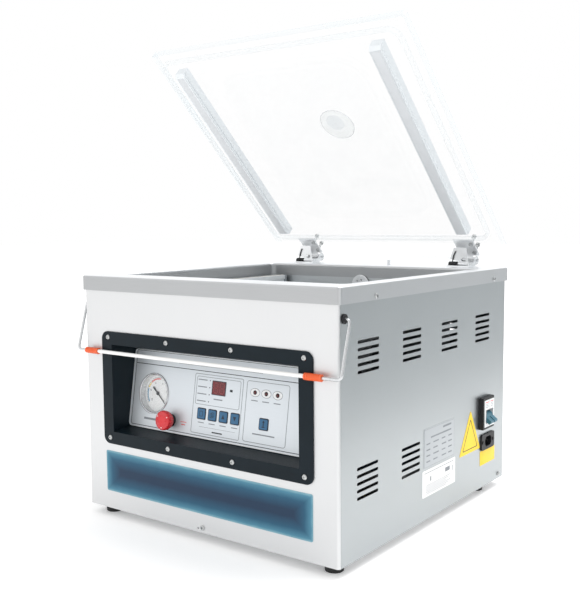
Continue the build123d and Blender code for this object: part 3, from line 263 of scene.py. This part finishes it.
def label_gradient():
    """Front band: teal at the edges, darkening to navy in the middle."""
    mat, tree, bsdf = new_mat("front_band", (0.1, 0.25, 0.35), 0.35)
    coord = tree.nodes.new("ShaderNodeTexCoord")
    split = tree.nodes.new("ShaderNodeSeparateXYZ")
    tree.links.new(coord.outputs["Object"], split.inputs[0])

    def edge(value, middle, half, fade):
        away = tree.nodes.new("ShaderNodeMath")
        away.operation = "SUBTRACT"
        tree.links.new(value, away.inputs[0])
        away.inputs[1].default_value = middle
        size = tree.nodes.new("ShaderNodeMath")
        size.operation = "ABSOLUTE"
        tree.links.new(away.outputs[0], size.inputs[0])
        return span(tree, size.outputs[0], 1.0, 0.0, half - fade, half)

    sides = edge(split.outputs["X"], 0.0, 0.202, 0.034)
    ends = edge(split.outputs["Z"], 0.0755, 0.0335, 0.030)
    both = tree.nodes.new("ShaderNodeMath")
    both.operation = "MINIMUM"
    tree.links.new(sides, both.inputs[0])
    tree.links.new(ends, both.inputs[1])
    cloud = noise(tree, 60.0, 2.0)
    mix = tree.nodes.new("ShaderNodeMath")
    mix.operation = "MULTIPLY_ADD"
    tree.links.new(cloud, mix.inputs[0])
    mix.inputs[1].default_value = 0.08
    tree.links.new(both.outputs[0], mix.inputs[2])
    colour = ramp(tree, mix.outputs[0], [
        (0.04, (0.26, 0.46, 0.53)), (0.2, (0.075, 0.22, 0.31)), (0.5, (0.03, 0.10, 0.17)),
        (1.0, (0.022, 0.045, 0.085)),
    ])
    tree.links.new(colour, bsdf.inputs["Base Color"])
    tree.links.new(span(tree, cloud, 0.3, 0.4), bsdf.inputs["Roughness"])
    return mat


def facing(mat, top, front_shade_gain):
    """Painted light and shade by world normal: gains on the colour of the faces that look up and of the ones
    that look forward.
    """
    tree = mat.node_tree
    bsdf = tree.nodes["Principled BSDF"]
    source = bsdf.inputs["Base Color"].links[0].from_socket
    geometry = tree.nodes.new("ShaderNodeNewGeometry")
    split = tree.nodes.new("ShaderNodeSeparateXYZ")
    tree.links.new(geometry.outputs["Normal"], split.inputs[0])
    painted_top_light = span(tree, split.outputs["Z"], 1.0, top, 0.5, 0.95)
    painted_front_shade = span(tree, split.outputs["Y"], front_shade_gain, 1.0, -0.95, -0.5)
    both = tree.nodes.new("ShaderNodeMath")
    both.operation = "MULTIPLY"
    tree.links.new(painted_top_light, both.inputs[0])
    tree.links.new(painted_front_shade, both.inputs[1])
    scale = tree.nodes.new("ShaderNodeVectorMath")
    scale.operation = "SCALE"
    tree.links.new(source, scale.inputs[0])
    tree.links.new(both.outputs[0], scale.inputs["Scale"])
    tree.links.new(scale.outputs[0], bsdf.inputs["Base Color"])


# Painted light and shade on the deck: up-facing faces 1.65 times lighter, forward-facing faces 0.78 as light.
facing(M["deck"], 1.65, 0.78)
M["band"] = label_gradient()
for key, level in (("bezel", 0.14), ("black", 0.3), ("print", 0.2), ("band", 0.15)):
    M[key].node_tree.nodes["Principled BSDF"].inputs["Specular IOR Level"].default_value = level

carried = {
    "base_pan": "pan", "rubber_feet": "rubber", "front_panel": "front", "left_side_panel": "side",
    "right_side_panel": "side", "rear_panel": "side", "top_deck": "deck", "vacuum_chamber": "tub",
    "suction_cover": "cast", "control_bezel": "bezel", "control_plate": "plate", "display_window": "display",
    "gauge_dial": "dial", "gauge_needle": "print", "gauge_lens": "lens", "estop_base": "black",
    "indicator_leds": "led", "control_board": "board", "front_label": "band", "panel_screws": "nickel",
    "bail_bushes": "black", "breaker_surround": "black", "breaker_body": "breaker", "power_inlet": "black",
    "hinge_bases": "cast", "hinge_pins": "wire", "lift_cylinders": "pump", "lid_switch_body": "black",
    "vacuum_pump": "pump", "pump_motor": "motor", "exhaust_filter": "black", "transformer": "core",
    "valve_block": "brass", "air_hoses": "hose", "lid_bolts": "nickel", "hinge_arms": "cast",
    "lid_lifters": "cast", "bail_wire": "wire", "bail_sleeve": "sleeve", "bail_grips": "orange",
    "seal_bar_left": "bar", "seal_bar_right": "bar", "seal_element_left": "tape", "seal_element_right": "tape",
    "estop_stem": "black", "breaker_toggle": "toggle", "lid_switch_plunger": "silicone",
}
for node, key in carried.items():
    data = nodes[node].data
    data.materials.clear()
    data.materials.append(M[key])


# ---------------------------------------------------------------- mesh helpers
def piece(name, bm, mats, body, replaced=(), sharp=35):
    """Turns a bmesh into an object riding on a body, smooth except across sharp edges."""
    bmesh.ops.remove_doubles(bm, verts=bm.verts, dist=1e-7)
    bmesh.ops.recalc_face_normals(bm, faces=bm.faces)
    for face in bm.faces:
        face.smooth = True
    for edge in bm.edges:
        if len(edge.link_faces) == 2 and edge.calc_face_angle(0) > math.radians(sharp):
            edge.smooth = False
    mesh = bpy.data.meshes.new(name)
    bm.to_mesh(mesh)
    bm.free()
    for key in mats:
        mesh.materials.append(M[key])
    made = bpy.data.objects.new(name, mesh)
    bpy.context.scene.collection.objects.link(made)
    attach(made, body)
    if replaced:
        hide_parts(*replaced)
    return made


def rrect(width, height, radius, n=6):
    """Points of a rounded rectangle about the middle, counter-clockwise."""
    points = []
    for k, (sx, sy) in enumerate(((1, 1), (-1, 1), (-1, -1), (1, -1))):
        for i in range(n + 1):
            a = math.pi / 2 * (k + i / n)
            points.append((
                sx * (width / 2 - radius) + radius * math.cos(a),
                sy * (height / 2 - radius) + radius * math.sin(a),
            ))
    return points


def ellipse(rx, ry, n=40):
    return [(rx * math.cos(math.tau * i / n), ry * math.sin(math.tau * i / n)) for i in range(n)]


def loft(bm, where, loops, caps=(True, True), mat=0, wrap=False, mats=None):
    """Skin through loops of equal point count, each a list of local (x, y, z)."""
    rows = [[bm.verts.new(where @ Vector(p)) for p in loop] for loop in loops]
    n = len(rows[0])
    pairs = list(zip(rows, rows[1:]))
    if wrap:
        pairs.append((rows[-1], rows[0]))
    for k, (low, high) in enumerate(pairs):
        for i in range(n):
            face = bm.faces.new((low[i], low[(i + 1) % n], high[(i + 1) % n], high[i]))
            face.material_index = mats[k] if mats else mat
    if caps[0]:
        bm.faces.new(list(reversed(rows[0]))).material_index = mats[0] if mats else mat
    if caps[1]:
        bm.faces.new(rows[-1]).material_index = mats[-1] if mats else mat
    return rows


def lift(points, z, shift=(0, 0)):
    return [(x + shift[0], y + shift[1], z) for x, y in points]


def slab(bm, where, width, height, radius, low, high, bevel=0.0, mat=0, n=6, shift=(0, 0)):
    """Rounded slab from low to high with a rounded top edge."""
    loops = [lift(rrect(width, height, radius, n), low, shift)]
    if bevel:
        for a in (0, 30, 60, 90):
            inset = bevel * (1 - math.cos(math.radians(a)))
            rise = bevel * math.sin(math.radians(a))
            outline = rrect(width - 2 * inset, height - 2 * inset, max(0.05, radius - inset), n)
            loops.append(lift(outline, high - bevel + rise, shift))
    else:
        loops.append(lift(rrect(width, height, radius, n), high, shift))
    loft(bm, where, loops, mat=mat)


def outline(bm, where, width, height, radius, line, low, high, mat=0, shift=(0, 0)):
    """Printed frame: a thin raised line round a rounded rectangle."""
    out = rrect(width, height, radius)
    inner = rrect(width - 2 * line, height - 2 * line, max(0.1, radius - line))
    loft(bm, where, [lift(out, low, shift), lift(out, high, shift), lift(inner, high, shift),
                     lift(inner, low, shift)], (False, False), mat, True)


def lathe(bm, where, profile, n=48, mats=None, caps=(True, True), wave=None):
    """Turned shape from (radius, height) pairs; wave shapes the radius round the axis."""
    loops = []
    for k, (r, z) in enumerate(profile):
        loop = []
        for i in range(n):
            a = 2 * math.pi * i / n
            grown = r + (wave(k, a) if wave else 0)
            loop.append((grown * math.cos(a), grown * math.sin(a), z))
        loops.append(loop)
    loft(bm, where, loops, caps, mats=mats)


def tube(bm, where, path, radius, n=12, mat=0):
    """Round wire along a path of points, with flat ends."""
    points = [Vector(p) for p in path]
    ahead = (points[1] - points[0]).normalized()
    side = ahead.orthogonal().normalized()
    loops = []
    for i, p in enumerate(points):
        before = points[max(0, i - 1)]
        after = points[min(len(points) - 1, i + 1)]
        now = (after - before).normalized()
        side = (side - now * side.dot(now)).normalized()
        up = now.cross(side)
        loops.append([p + side * (radius * math.cos(2 * math.pi * k / n))
                      + up * (radius * math.sin(2 * math.pi * k / n)) for k in range(n)])
    loft(bm, where, loops, mat=mat)


def arc_band(bm, where, radius, wide, start, stop, low, high, mat=0, n=24):
    """Flat arc of a ring between two angles in degrees."""
    rows = []
    for i in range(n + 1):
        a = math.radians(start + (stop - start) * i / n)
        c, s = math.cos(a), math.sin(a)
        inner, outer = radius - wide / 2, radius + wide / 2
        rows.append([(inner * c, inner * s, low), (outer * c, outer * s, low),
                     (outer * c, outer * s, high), (inner * c, inner * s, high)])
    loft(bm, where, rows, mat=mat)


def prism(bm, where, points, low, high, mat=0):
    loft(bm, where, [lift(points, low), lift(points, high)], mat=mat)


def smooth_step(t):
    return t * t * (3 - 2 * t)


def evaluated_mesh(thing):
    bpy.context.view_layer.update()
    return bpy.data.meshes.new_from_object(thing.evaluated_get(bpy.context.evaluated_depsgraph_get()))


# ---------------------------------------------------------------- lid
def lid_loop(width, height, radius, z, middle=lid_mid):
    return lift(rrect(width, height, radius, 10), z, (0, middle))


def lid_shell():
    """Clear lid: flat flange with soft edges and a shallow pressed dome."""
    bm = bmesh.new()
    loops = []
    for i in range(9):
        t = i / 8
        grow = 26 * (1 - t)
        loops.append(lid_loop(288 - 2 * grow, 346 - 2 * grow, 53 - grow * 0.7, 17.0 * (1 - smooth_step(t)),
                              dome_mid))
    wide, long, corner = 488, 524, 5
    for inset, z in ((1.6, 0.0), (0.5, 0.45), (0.0, 1.6), (0.0, 11.8), (0.5, 12.95), (1.6, 13.4)):
        loops.append(lid_loop(wide - 2 * inset, long - 2 * inset, corner - inset, z))
    for i in range(9):
        t = i / 8
        grow = 22 * t
        loops.append(lid_loop(296 - 2 * grow, 354 - 2 * grow, 57 - grow * 0.7, 13.4 + 12.0 * smooth_step(t),
                              dome_mid))
    loft(bm, LID, loops, mats=[2] * 8 + [0] + [1] * 5 + [0] + [2] * 8)
    made = piece("lid_shell", bm, ["lid", "lid_edge", "lid_dome"], "lid", ["lid"], 40)
    for side in (-1, 1):
        cutter = bmesh.new()
        slab(cutter, LID, 35, 40, 2.5, -5, 20, shift=(side * hinge_x, 8.5))
        mesh = bpy.data.meshes.new("notch")
        cutter.to_mesh(mesh)
        cutter.free()
        tool = bpy.data.objects.new("notch", mesh)
        bpy.context.scene.collection.objects.link(tool)
        cut = made.modifiers.new("notch", "BOOLEAN")
        cut.operation = "DIFFERENCE"
        cut.object = tool
        cut.solver = "EXACT"
        done = evaluated_mesh(made)
        made.modifiers.clear()
        made.data = done
        bpy.data.objects.remove(tool)


lid_shell()


def lid_seal():
    """Hollow-looking silicone seal: a foot against the lid and a round bulb below it."""
    bm = bmesh.new()
    section = [(0.0, 0.0), (0.0, 2.6), (1.0, 3.6)]
    for i in range(9):
        a = math.radians(-130 + 260 * i / 8)
        section.append((3 + 3.0 * math.sin(a), 6.7 + 3.0 * math.cos(a)))
    section += [(5.0, 3.6), (6.0, 2.6), (6.0, 0.0)]
    loops = []
    for u, v in section:
        loops.append(lid_loop(464 - 2 * u, 443 - 2 * u, 22 - u, -v, (-503.4 - 60.4) / 2))
    loft(bm, LID, loops, (False, False), wrap=True)
    piece("lid_seal", bm, ["veil"], "lid", ["lid_gasket"], 50)


lid_seal()


def counter_bars():
    """Aluminium pressure bars on the lid, each with a grooved side, chamfered ends and a silicone face."""
    bm = bmesh.new()
    profile = [(-10, -0.2), (-10, -18.9), (-9.4, -19.5), (9.4, -19.5), (10, -18.9), (10, -15.6), (9.2, -15.2),
               (9.2, -14.2), (10, -13.8), (10, -0.2)]
    for side in (-1, 1):
        ends = []
        for y, squeeze in ((-483.4, 0.72), (-478.4, 1.0), (-90, 1.0), (-85, 0.72)):
            ends.append([(side * bar_x + x, y, z * squeeze) for x, z in profile])
        loft(bm, LID, ends, mat=0)
        strip = [(-7.5, -19.4), (-7.2, -19.8), (7.2, -19.8), (7.5, -19.4)]
        loft(bm, LID, [[(side * bar_x + x, y, z) for x, z in strip] for y in (-477, -91)], mat=1)
    piece("counter_bars", bm, ["bar", "silicone"], "lid", ["pressure_bars", "silicone_strips"],
          30)


counter_bars()


def lid_sticker():
    """Blank round label on the dome."""
    bm = bmesh.new()
    where = at(LID, 33.3, lid_back - 330.3, 17.0)
    lathe(bm, where, [(31, 0), (31, -0.25)], 48, [0])
    arc_band(bm, where, 30.2, 0.8, 0, 360, -0.35, -0.25, 1, 48)
    lathe(bm, at(where, -2, -4), [(16, -0.25), (16, -0.36)], 32, [2])
    piece("lid_sticker", bm, ["haze", "print_line", "haze_blue"], "lid", ())


lid_sticker()


# ---------------------------------------------------------------- hinge springs
def hinge_coils():
    """Torsion springs round the lifter pins, and their long legs up the webs."""
    coils, legs = bmesh.new(), bmesh.new()
    for side in (-1, 1):
        middle = side * hinge_x
        y0, z0 = front + 508, 388.5
        path = []
        turns, steps = 9, 16
        for i in range(turns * steps + 1):
            a = 2 * math.pi * i / steps
            path.append((middle - 24 + 16 * i / (turns * steps), y0 - 3.45 * math.cos(a),
                         z0 + 3.45 * math.sin(a)))
        tube(coils, WORLD, path, 0.85, 8)
        foot = [(middle - 24, y0 - 3.45, z0), (middle - 24.3, y0 - 3.6, z0 - 1.6),
                (middle - 24.4, y0 - 4.2, z0 - 3.2), (middle - 24.4, y0 - 5.4, z0 - 3.7)]
        tube(coils, WORLD, foot, 0.6, 8)
        leg = [(middle - 17.2, y0 - 3.4, z0), (middle - 17.2, y0 - 3.3, z0 + 3),
               (middle - 17.0, y0 - 2.4, z0 + 6), (middle - 16.6, y0 - 2.1, z0 + 10),
               (middle - 15.6, y0 - 2.1, z0 + 14), (middle - 13.4, y0 - 2.1, z0 + 19),
               (middle - 11.6, y0 - 2.1, z0 + 22.5)]
        tube(legs, WORLD, leg, 0.95, 8)
    piece("hinge_coils", coils, ["spring"], "chassis", (), 60)
    piece("hinge_spring_legs", legs, ["spring"], "lifters", ["hinge_springs"], 60)


hinge_coils()


# ---------------------------------------------------------------- gauge
def gauge():
    bm = bmesh.new()
    where = at(PLATE, *gauge_spot)
    lathe(bm, where, [(31.6, 0.0), (32.0, 0.4), (31.8, 1.0), (31.2, 1.4), (30.2, 1.4), (29.4, 0.9),
                      (28.9, 0.0), (28.6, -10.5)], 72, [0, 0, 0, 0, 0, 0, 1], (False, False))
    lathe(bm, where, [(28.6, -10.5), (30.0, -10.5), (30.0, -30), (8, -30), (8, -36), (5, -36), (5, -44)], 48,
          [2, 2, 2, 2, 2, 2], (False, True))
    lathe(bm, where, [(30.0, -10.5), (30.0, 0.0), (31.6, 0.0)], 72, [2, 2], (False, False))
    piece("gauge_housing", bm, ["chrome", "bore", "black"], "chassis", ["gauge_case"], 40)

    face = bmesh.new()
    low, high = -9.7, -9.6
    arc_band(face, where, 22.6, 2.0, 84, 136, low, high, 0)
    arc_band(face, where, 22.6, 2.0, 139, 160, low, high, 1)
    arc_band(face, where, 22.6, 2.0, 163, 219, low, high, 2)
    arc_band(face, where, 25.2, 0.35, -40, 220, low, high, 3, 64)
    for i in range(27):
        a = -40 + 10 * i
        long = 3.2 if i % 5 == 0 else 1.8
        tick = at(where, 0, 0, 0, a)
        prism(face, tick, [(25.2 - long, -0.22), (25.2, -0.22), (25.2, 0.22), (25.2 - long, 0.22)],
              low, high, 3)
    piece("gauge_scale", face, ["arc_red", "arc_yellow", "arc_blue", "print"], "chassis", ())
    for i, mark in enumerate(("0", "2", "4", "6", "8", "10")):
        a = math.radians(-40 + 52 * i)
        curve = bpy.data.curves.new("numeral_" + str(i), "FONT")
        curve.body = mark
        curve.size = 4.6
        curve.align_x = "CENTER"
        curve.align_y = "CENTER"
        curve.extrude = 0.05
        curve.resolution_u = 3
        word = bpy.data.objects.new("numeral_" + str(i), curve)
        bpy.context.scene.collection.objects.link(word)
        mesh = evaluated_mesh(word)
        mesh.transform(at(where, 17.2 * math.cos(a), 17.2 * math.sin(a), -9.6))
        bpy.data.objects.remove(word)
        mesh.materials.clear()
        mesh.materials.append(M["print"])
        digit = bpy.data.objects.new("dial_numeral_" + str(i), mesh)
        bpy.context.scene.collection.objects.link(digit)
        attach(digit, "chassis")


gauge()


# ---------------------------------------------------------------- stop button
def stop_button():
    bm = bmesh.new()
    where = at(PLATE, *stop_spot)

    def ribs(k, a):
        return -1.1 * (0.5 + 0.5 * math.cos(20 * a)) if 2 <= k <= 6 else 0.0

    profile = [(5.2, 8.0), (12.9, 8.0), (13.6, 8.7), (14.2, 11.0), (15.0, 13.2), (15.0, 18.2), (14.4, 19.4),
               (13.2, 20.0), (9.4, 20.2), (9.0, 20.55), (7.4, 20.55), (7.0, 20.1), (3.0, 20.1)]
    # The first band and the bottom cap, the cap's underside, take the darker red: painted shade under the cap.
    lathe(bm, where, profile, 156, [2] + [0] * 11, (True, True), ribs)
    for k in range(3):
        spot = at(where, 0, 0, 0, 120 * k + 30)
        prism(bm, spot, [(10.4, -1.0), (12.6, 0.0), (10.4, 1.0)], 20.0, 20.35, 1)
    piece("stop_button_cap", bm, ["red", "print_white", "red_painted_under_shade"], "estop_cap", ["estop_cap"],
          45)


stop_button()


# ---------------------------------------------------------------- keys
def key_icon(bm, where, icon):
    low, high = 1.0, 1.12
    if icon == "frame":
        outline(bm, where, 6.5, 8.0, 0.6, 0.7, low, high, 2)
    elif icon == "frames":
        outline(bm, where, 5.2, 6.6, 0.6, 0.7, low, high, 2, (-1.4, -0.9))
        outline(bm, where, 5.2, 6.6, 0.6, 0.7, low, high, 2, (1.4, 0.9))
    elif icon == "up":
        prism(bm, where, [(-3.1, -3.0), (3.1, -3.0), (0, 3.6)], low, high, 2)
    elif icon == "down":
        prism(bm, where, [(-3.1, 3.0), (0, -3.6), (3.1, 3.0)], low, high, 2)
    else:
        prism(bm, where, [(-0.8, -3.4), (0.8, -3.4), (0.8, 3.4), (-0.8, 3.4)], low, high, 2)
        prism(bm, where, [(-2.4, 2.6), (2.4, 2.6), (0, 5.6)], low, high, 2)
        prism(bm, where, [(-2.6, -4.6), (2.6, -4.6), (2.6, -3.4), (-2.6, -3.4)], low, high, 2)


keys = {
    "key_program": (-27.1, 36.6, "frame"), "key_select": (-5.6, 36.6, "frames"), "key_up": (15.9, 36.6, "up"),
    "key_down": (37.9, 36.6, "down"), "key_heat": (91.2, 35.8, "heat"),
}
for name, (x, y, icon) in keys.items():
    key_mesh = bmesh.new()
    spot = at(PLATE, x, y)
    slab(key_mesh, spot, 16.9, 16.9, 2.2, -2.1, 0.8, 0.5, 1)
    slab(key_mesh, spot, 18.9, 18.9, 2.0, -3.1, -2.1, 0.0, 1)
    slab(key_mesh, spot, 14.4, 14.4, 1.6, 0.6, 1.0, 0.25, 0)
    key_icon(key_mesh, spot, icon)
    piece(name + "_cap", key_mesh, ["key", "key_dark", "key_dark"], name, [name], 40)


# ---------------------------------------------------------------- control panel print
def panel_print():
    bm = bmesh.new()
    low, high = -0.05, 0.12

    def box_line(x0, x1, y0, y1, radius, line, mat):
        outline(bm, PLATE, x1 - x0, y1 - y0, radius, line, low, high, mat, ((x0 + x1) / 2, (y0 + y1) / 2))

    def bar(x0, x1, y, thick, mat):
        prism(bm, PLATE, [(x0, y - thick / 2), (x1, y - thick / 2), (x1, y + thick / 2), (x0, y + thick / 2)],
              low, high, mat)

    box_line(-174.2, 174.2, 3.0, 121.2, 3.0, 0.9, 0)
    bar(-173.5, 173.5, 100.0, 1.0, 0)
    bar(-173.5, -92, 108.5, 0.8, 0)
    bar(92, 173.5, 108.5, 0.8, 0)
    bar(-82, 82, 108.5, 3.4, 1)
    box_line(-46, 48.5, 6.7, 95.8, 3.0, 0.8, 1)
    box_line(-42, 44, 50, 92, 3.0, 0.7, 1)
    box_line(55, 132, 7.5, 95, 4.0, 0.8, 1)
    for k in range(4):
        y = 87 - 10.5 * k
        bar(-39, -21, y, 1.5, 1)
        lathe(bm, at(PLATE, -15.5, y), [(0.9, low), (0.9, high)], 16, [0])
    bar(-6, 11, 60.5, 1.7, 1)
    bar(24, 29, 76, 3.4, 0)
    for x in (-27.1, -5.6, 15.9, 37.9):
        bar(x - 6, x + 6, 23.4, 1.3, 1)
    bar(-30, 40, 17.2, 0.4, 1)
    bar(-4, 16, 11.6, 1.8, 0)
    for x in lamp_row:
        bar(x - 6, x + 6, 67.2, 1.4, 1)
    bar(72, 112, 20.4, 1.8, 1)
    bar(-146, -113, 15.5, 3.2, 1)
    bar(-68, -56, 19.5, 0.8, 2)
    bar(-66, -58, 15.5, 1.2, 2)
    for x in lamp_row:
        where = at(PLATE, x, 78.8)
        prism(bm, where, ellipse(8.8, 6.2), low, 0.08, 1)
        prism(bm, where, ellipse(8.1, 5.5), low, 0.16, 3)
        lathe(bm, where, [(3.3, 0.1), (3.3, 0.22)], 24, [0])
    piece("panel_print", bm, ["print", "print_grey", "arc_red", "print_white"], "chassis", (),
          60)

    rim = bmesh.new()
    outline(rim, PLATE, 357.6, 122.2, 6.0, 1.4, -0.3, 0.35, 0, (0, 61.25))
    piece("panel_rim", rim, ["bar"], "chassis", (), 60)


panel_print()


def display_digits():
    """Unlit seven-segment digits behind the red window."""
    bm = bmesh.new()
    outline(bm, PLATE, 26.9, 21.2, 1.2, 0.9, -0.1, 0.5, 1, (2.6, 77.3))
    for cx in (-3.6, 8.8):
        for dx, dy, w, h in ((0, 7.4, 6, 1.5), (0, 0, 6, 1.5), (0, -7.4, 6, 1.5), (-3.9, 3.7, 1.5, 5.6),
                             (3.9, 3.7, 1.5, 5.6), (-3.9, -3.7, 1.5, 5.6), (3.9, -3.7, 1.5, 5.6)):
            slab(bm, at(PLATE, cx + dx, 77.3 + dy), w, h, 0.5, 0.2, 0.36)
    piece("display_digits", bm, ["segment", "key_dark"], "chassis", (), 60)


display_digits()


# ---------------------------------------------------------------- side labels
def side_plates():
    bm = bmesh.new()
    high = 0.4

    def mark(y0, y1, z0, z1, mat, top=0.5):
        prism(bm, RIGHT, [(y0, z0), (y1, z0), (y1, z1), (y0, z1)], high - 0.1, top, mat)

    left, right = front + 232, front + 334
    slab(bm, RIGHT, 102, 61, 2, 0, high, 0.12, 0, shift=(front + 283, 124.5))
    outline(bm, RIGHT, 99, 58, 1.5, 0.4, high - 0.1, high + 0.06, 2, (front + 283, 124.5))
    mark(left + 62, right - 12, 146.5, 149.5, 2)
    mark(left + 22, right - 12, 138.0, 140.4, 2)
    for row in range(4):
        z = 129.5 - 9.0 * row
        mark(left + 8, left + 20, z, z + 2.0, 2)
        mark(left + 30, left + 48 - 4 * (row % 2), z, z + 2.0, 2)
        mark(left + 58, left + 70 + 3 * (row % 2), z, z + 2.0, 2)
        mark(left + 80, left + 92, z, z + 2.0, 2)
    left = front + 228
    slab(bm, RIGHT, 109, 41, 2, 0, high, 0.12, 1, shift=(front + 282.5, 70.5))
    mark(left + 6, left + 102, 86.0, 87.0, 2)
    mark(left + 74, left + 90, 74.5, 81.0, 2)
    mark(left + 24, left + 28, 72.0, 79.0, 2)
    mark(left + 98, left + 100, 71.0, 80.0, 2)
    for row in range(6):
        mark(left + 10, left + 92 - 7 * (row % 3), 67.0 - 2.6 * row, 67.7 - 2.6 * row, 2)
    piece("rating_labels", bm, ["foil", "paper", "print_grey"], "chassis", ["side_labels"], 50)

    warn = bmesh.new()
    corners = [(front + 352, 85), (front + 430, 85), (front + 393, 155)]
    middle = Vector((front + 391.7, 106))

    def soft(points, scale, radius):
        done = []
        for i, p in enumerate(points):
            p = middle + (Vector(p) - middle) * scale
            before = middle + (Vector(points[i - 1]) - middle) * scale
            after = middle + (Vector(points[(i + 1) % 3]) - middle) * scale
            u, v = (before - p).normalized(), (after - p).normalized()
            for t in (0.0, 0.25, 0.5, 0.75, 1.0):
                done.append(tuple(p + (u * (1 - t) ** 2 + v * t ** 2) * radius))
        return done

    loft(warn, RIGHT, [lift(soft(corners, 1.0, 4), 0), lift(soft(corners, 1.0, 4), high)], mat=0)
    out, inner = soft(corners, 0.72, 3), soft(corners, 0.66, 2.5)
    loft(warn, RIGHT, [lift(out, high - 0.1), lift(out, high + 0.08), lift(inner, high + 0.08),
                       lift(inner, high - 0.1)], (False, False), 1, True)
    slab(warn, RIGHT, 59, 25, 1.5, 0, high, 0.1, 0, shift=(front + 460, 65.5))
    piece("warning_plates", warn, ["yellow", "print"], "chassis", (), 50)


side_plates()


# ---------------------------------------------------------------- breaker and inlet details
def breaker_marks():
    bm = bmesh.new()
    where = placed((250.5, 0, 0), (0, 1, 0), (1, 0, 0))
    y, z = front + 447, 143

    def mark(y0, y1, z0, z1, mat):
        prism(bm, where, [(y + y0, z + z0), (y + y1, z + z0), (y + y1, z + z1), (y + y0, z + z1)],
              -0.1, 0.12, mat)

    mark(-0.35, 0.35, 6.6, 22.3, 0)
    mark(-0.35, 0.35, -22.3, -16.4, 0)
    mark(-15, -3, 18.6, 19.8, 1)
    mark(3, 15, 18.6, 19.8, 1)
    for k in range(3):
        mark(-14, -5, 15.8 - 2.6 * k, 16.6 - 2.6 * k, 0)
        mark(5, 14, 15.8 - 2.6 * k, 16.6 - 2.6 * k, 0)
    outline(bm, where, 27.8, 22.8, 0.8, 0.6, -0.1, 0.14, 2, (y, z - 5))
    piece("breaker_marks", bm, ["print_grey", "arc_red", "black"], "chassis", (), 50)


breaker_marks()


def seal_details():
    """Heating wire and dark end covers on each seal bar."""
    for side, body in ((-1, "seal_bar_left"), (1, "seal_bar_right")):
        bm = bmesh.new()
        x = side * bar_x
        tube(bm, WORLD, [(x + 2.2, front + 66, 362.05), (x + 2.2, front + 448, 362.05)], 0.55, 8, 0)
        for y in (front + 61, front + 453):
            slab(bm, at(WORLD, x, y), 19.4, 8.3, 2.4, 344, 361.2, 0.8, 1)
        name = "seal_trim_" + ("left" if side < 0 else "right")
        piece(name, bm, ["print", "print_grey"], body, (), 50)


seal_details()


# ---------------------------------------------------------------- stage, lights and camera
def sheet(name, segments, size, mat, matrix=Matrix()):
    """Flat square of the stage, shaped by a matrix."""
    bm = bmesh.new()
    bmesh.ops.create_grid(bm, x_segments=segments, y_segments=segments, size=size, matrix=matrix)
    mesh = bpy.data.meshes.new(name)
    bm.to_mesh(mesh)
    bm.free()
    mesh.materials.append(mat)
    made = bpy.data.objects.new(name, mesh)
    bpy.context.scene.collection.objects.link(made)
    return made


def stage():
    """White floor, and a grey card that only shows in reflections."""
    white, _, bsdf = new_mat("floor_white", (1.0, 1.0, 1.0), 0.8)
    bsdf.inputs["Specular IOR Level"].default_value = 0.0
    bsdf.inputs["Emission Color"].default_value = (1, 1, 1, 1)
    bsdf.inputs["Emission Strength"].default_value = 0.17
    floor = sheet("floor", 2, 14, white)
    grey = new_mat("card_grey", (0.62, 0.64, 0.65), 0.9)[0]
    upright = Matrix.Rotation(math.radians(-90), 4, "Y") @ Matrix.Diagonal((0.5, 1.0, 1.0, 1.0))
    card = sheet("card", 1, 2.0, grey, Matrix.Translation((0.64, 1.7, 1.015)) @ upright)
    card.visible_camera = False
    card.visible_diffuse = False
    card.visible_transmission = False
    card.visible_shadow = False

    world = bpy.data.worlds.new("studio")
    bpy.context.scene.world = world
    world.use_nodes = True
    world.node_tree.nodes["Background"].inputs[0].default_value = (1, 1, 1, 1)
    world.node_tree.nodes["Background"].inputs[1].default_value = 1.0

    def area(name, place, target, size, power):
        data = bpy.data.lights.new(name, "AREA")
        data.shape = "RECTANGLE"
        data.size, data.size_y = size
        data.energy = power
        lamp = bpy.data.objects.new(name, data)
        lamp.location = place
        aim = Vector(target) - Vector(place)
        lamp.rotation_mode = "QUATERNION"
        lamp.rotation_quaternion = aim.to_track_quat("-Z", "Y")
        bpy.context.scene.collection.objects.link(lamp)

    area("top_light", (0.7, 0.9, 2.6), (0, 0.1, 0.2), (2.0, 1.6), 42)
    area("front_light", (-1.6, -2.4, 1.5), (0, -0.2, 0.3), (2.0, 1.6), 6)


stage()

yaw, pitch, roll = (math.radians(a) for a in (camera_yaw, camera_pitch, camera_roll))
look = Vector((-math.sin(yaw) * math.cos(pitch), math.cos(yaw) * math.cos(pitch), -math.sin(pitch)))
right = look.cross(Vector((0, 0, 1))).normalized()
up = right.cross(look)
right_rolled = right * math.cos(roll) + up * math.sin(roll)
up_rolled = up * math.cos(roll) - right * math.sin(roll)
camera_data = bpy.data.cameras.new("camera")
camera_data.lens = camera_lens
camera_data.clip_end = 100
camera = bpy.data.objects.new("camera", camera_data)
turn = Matrix((right_rolled, up_rolled, -look)).transposed().to_4x4()
camera.matrix_world = Matrix.Translation(camera_place) @ turn
bpy.context.scene.collection.objects.link(camera)
bpy.context.scene.camera = camera
bpy.context.scene.view_settings.view_transform = "Standard"
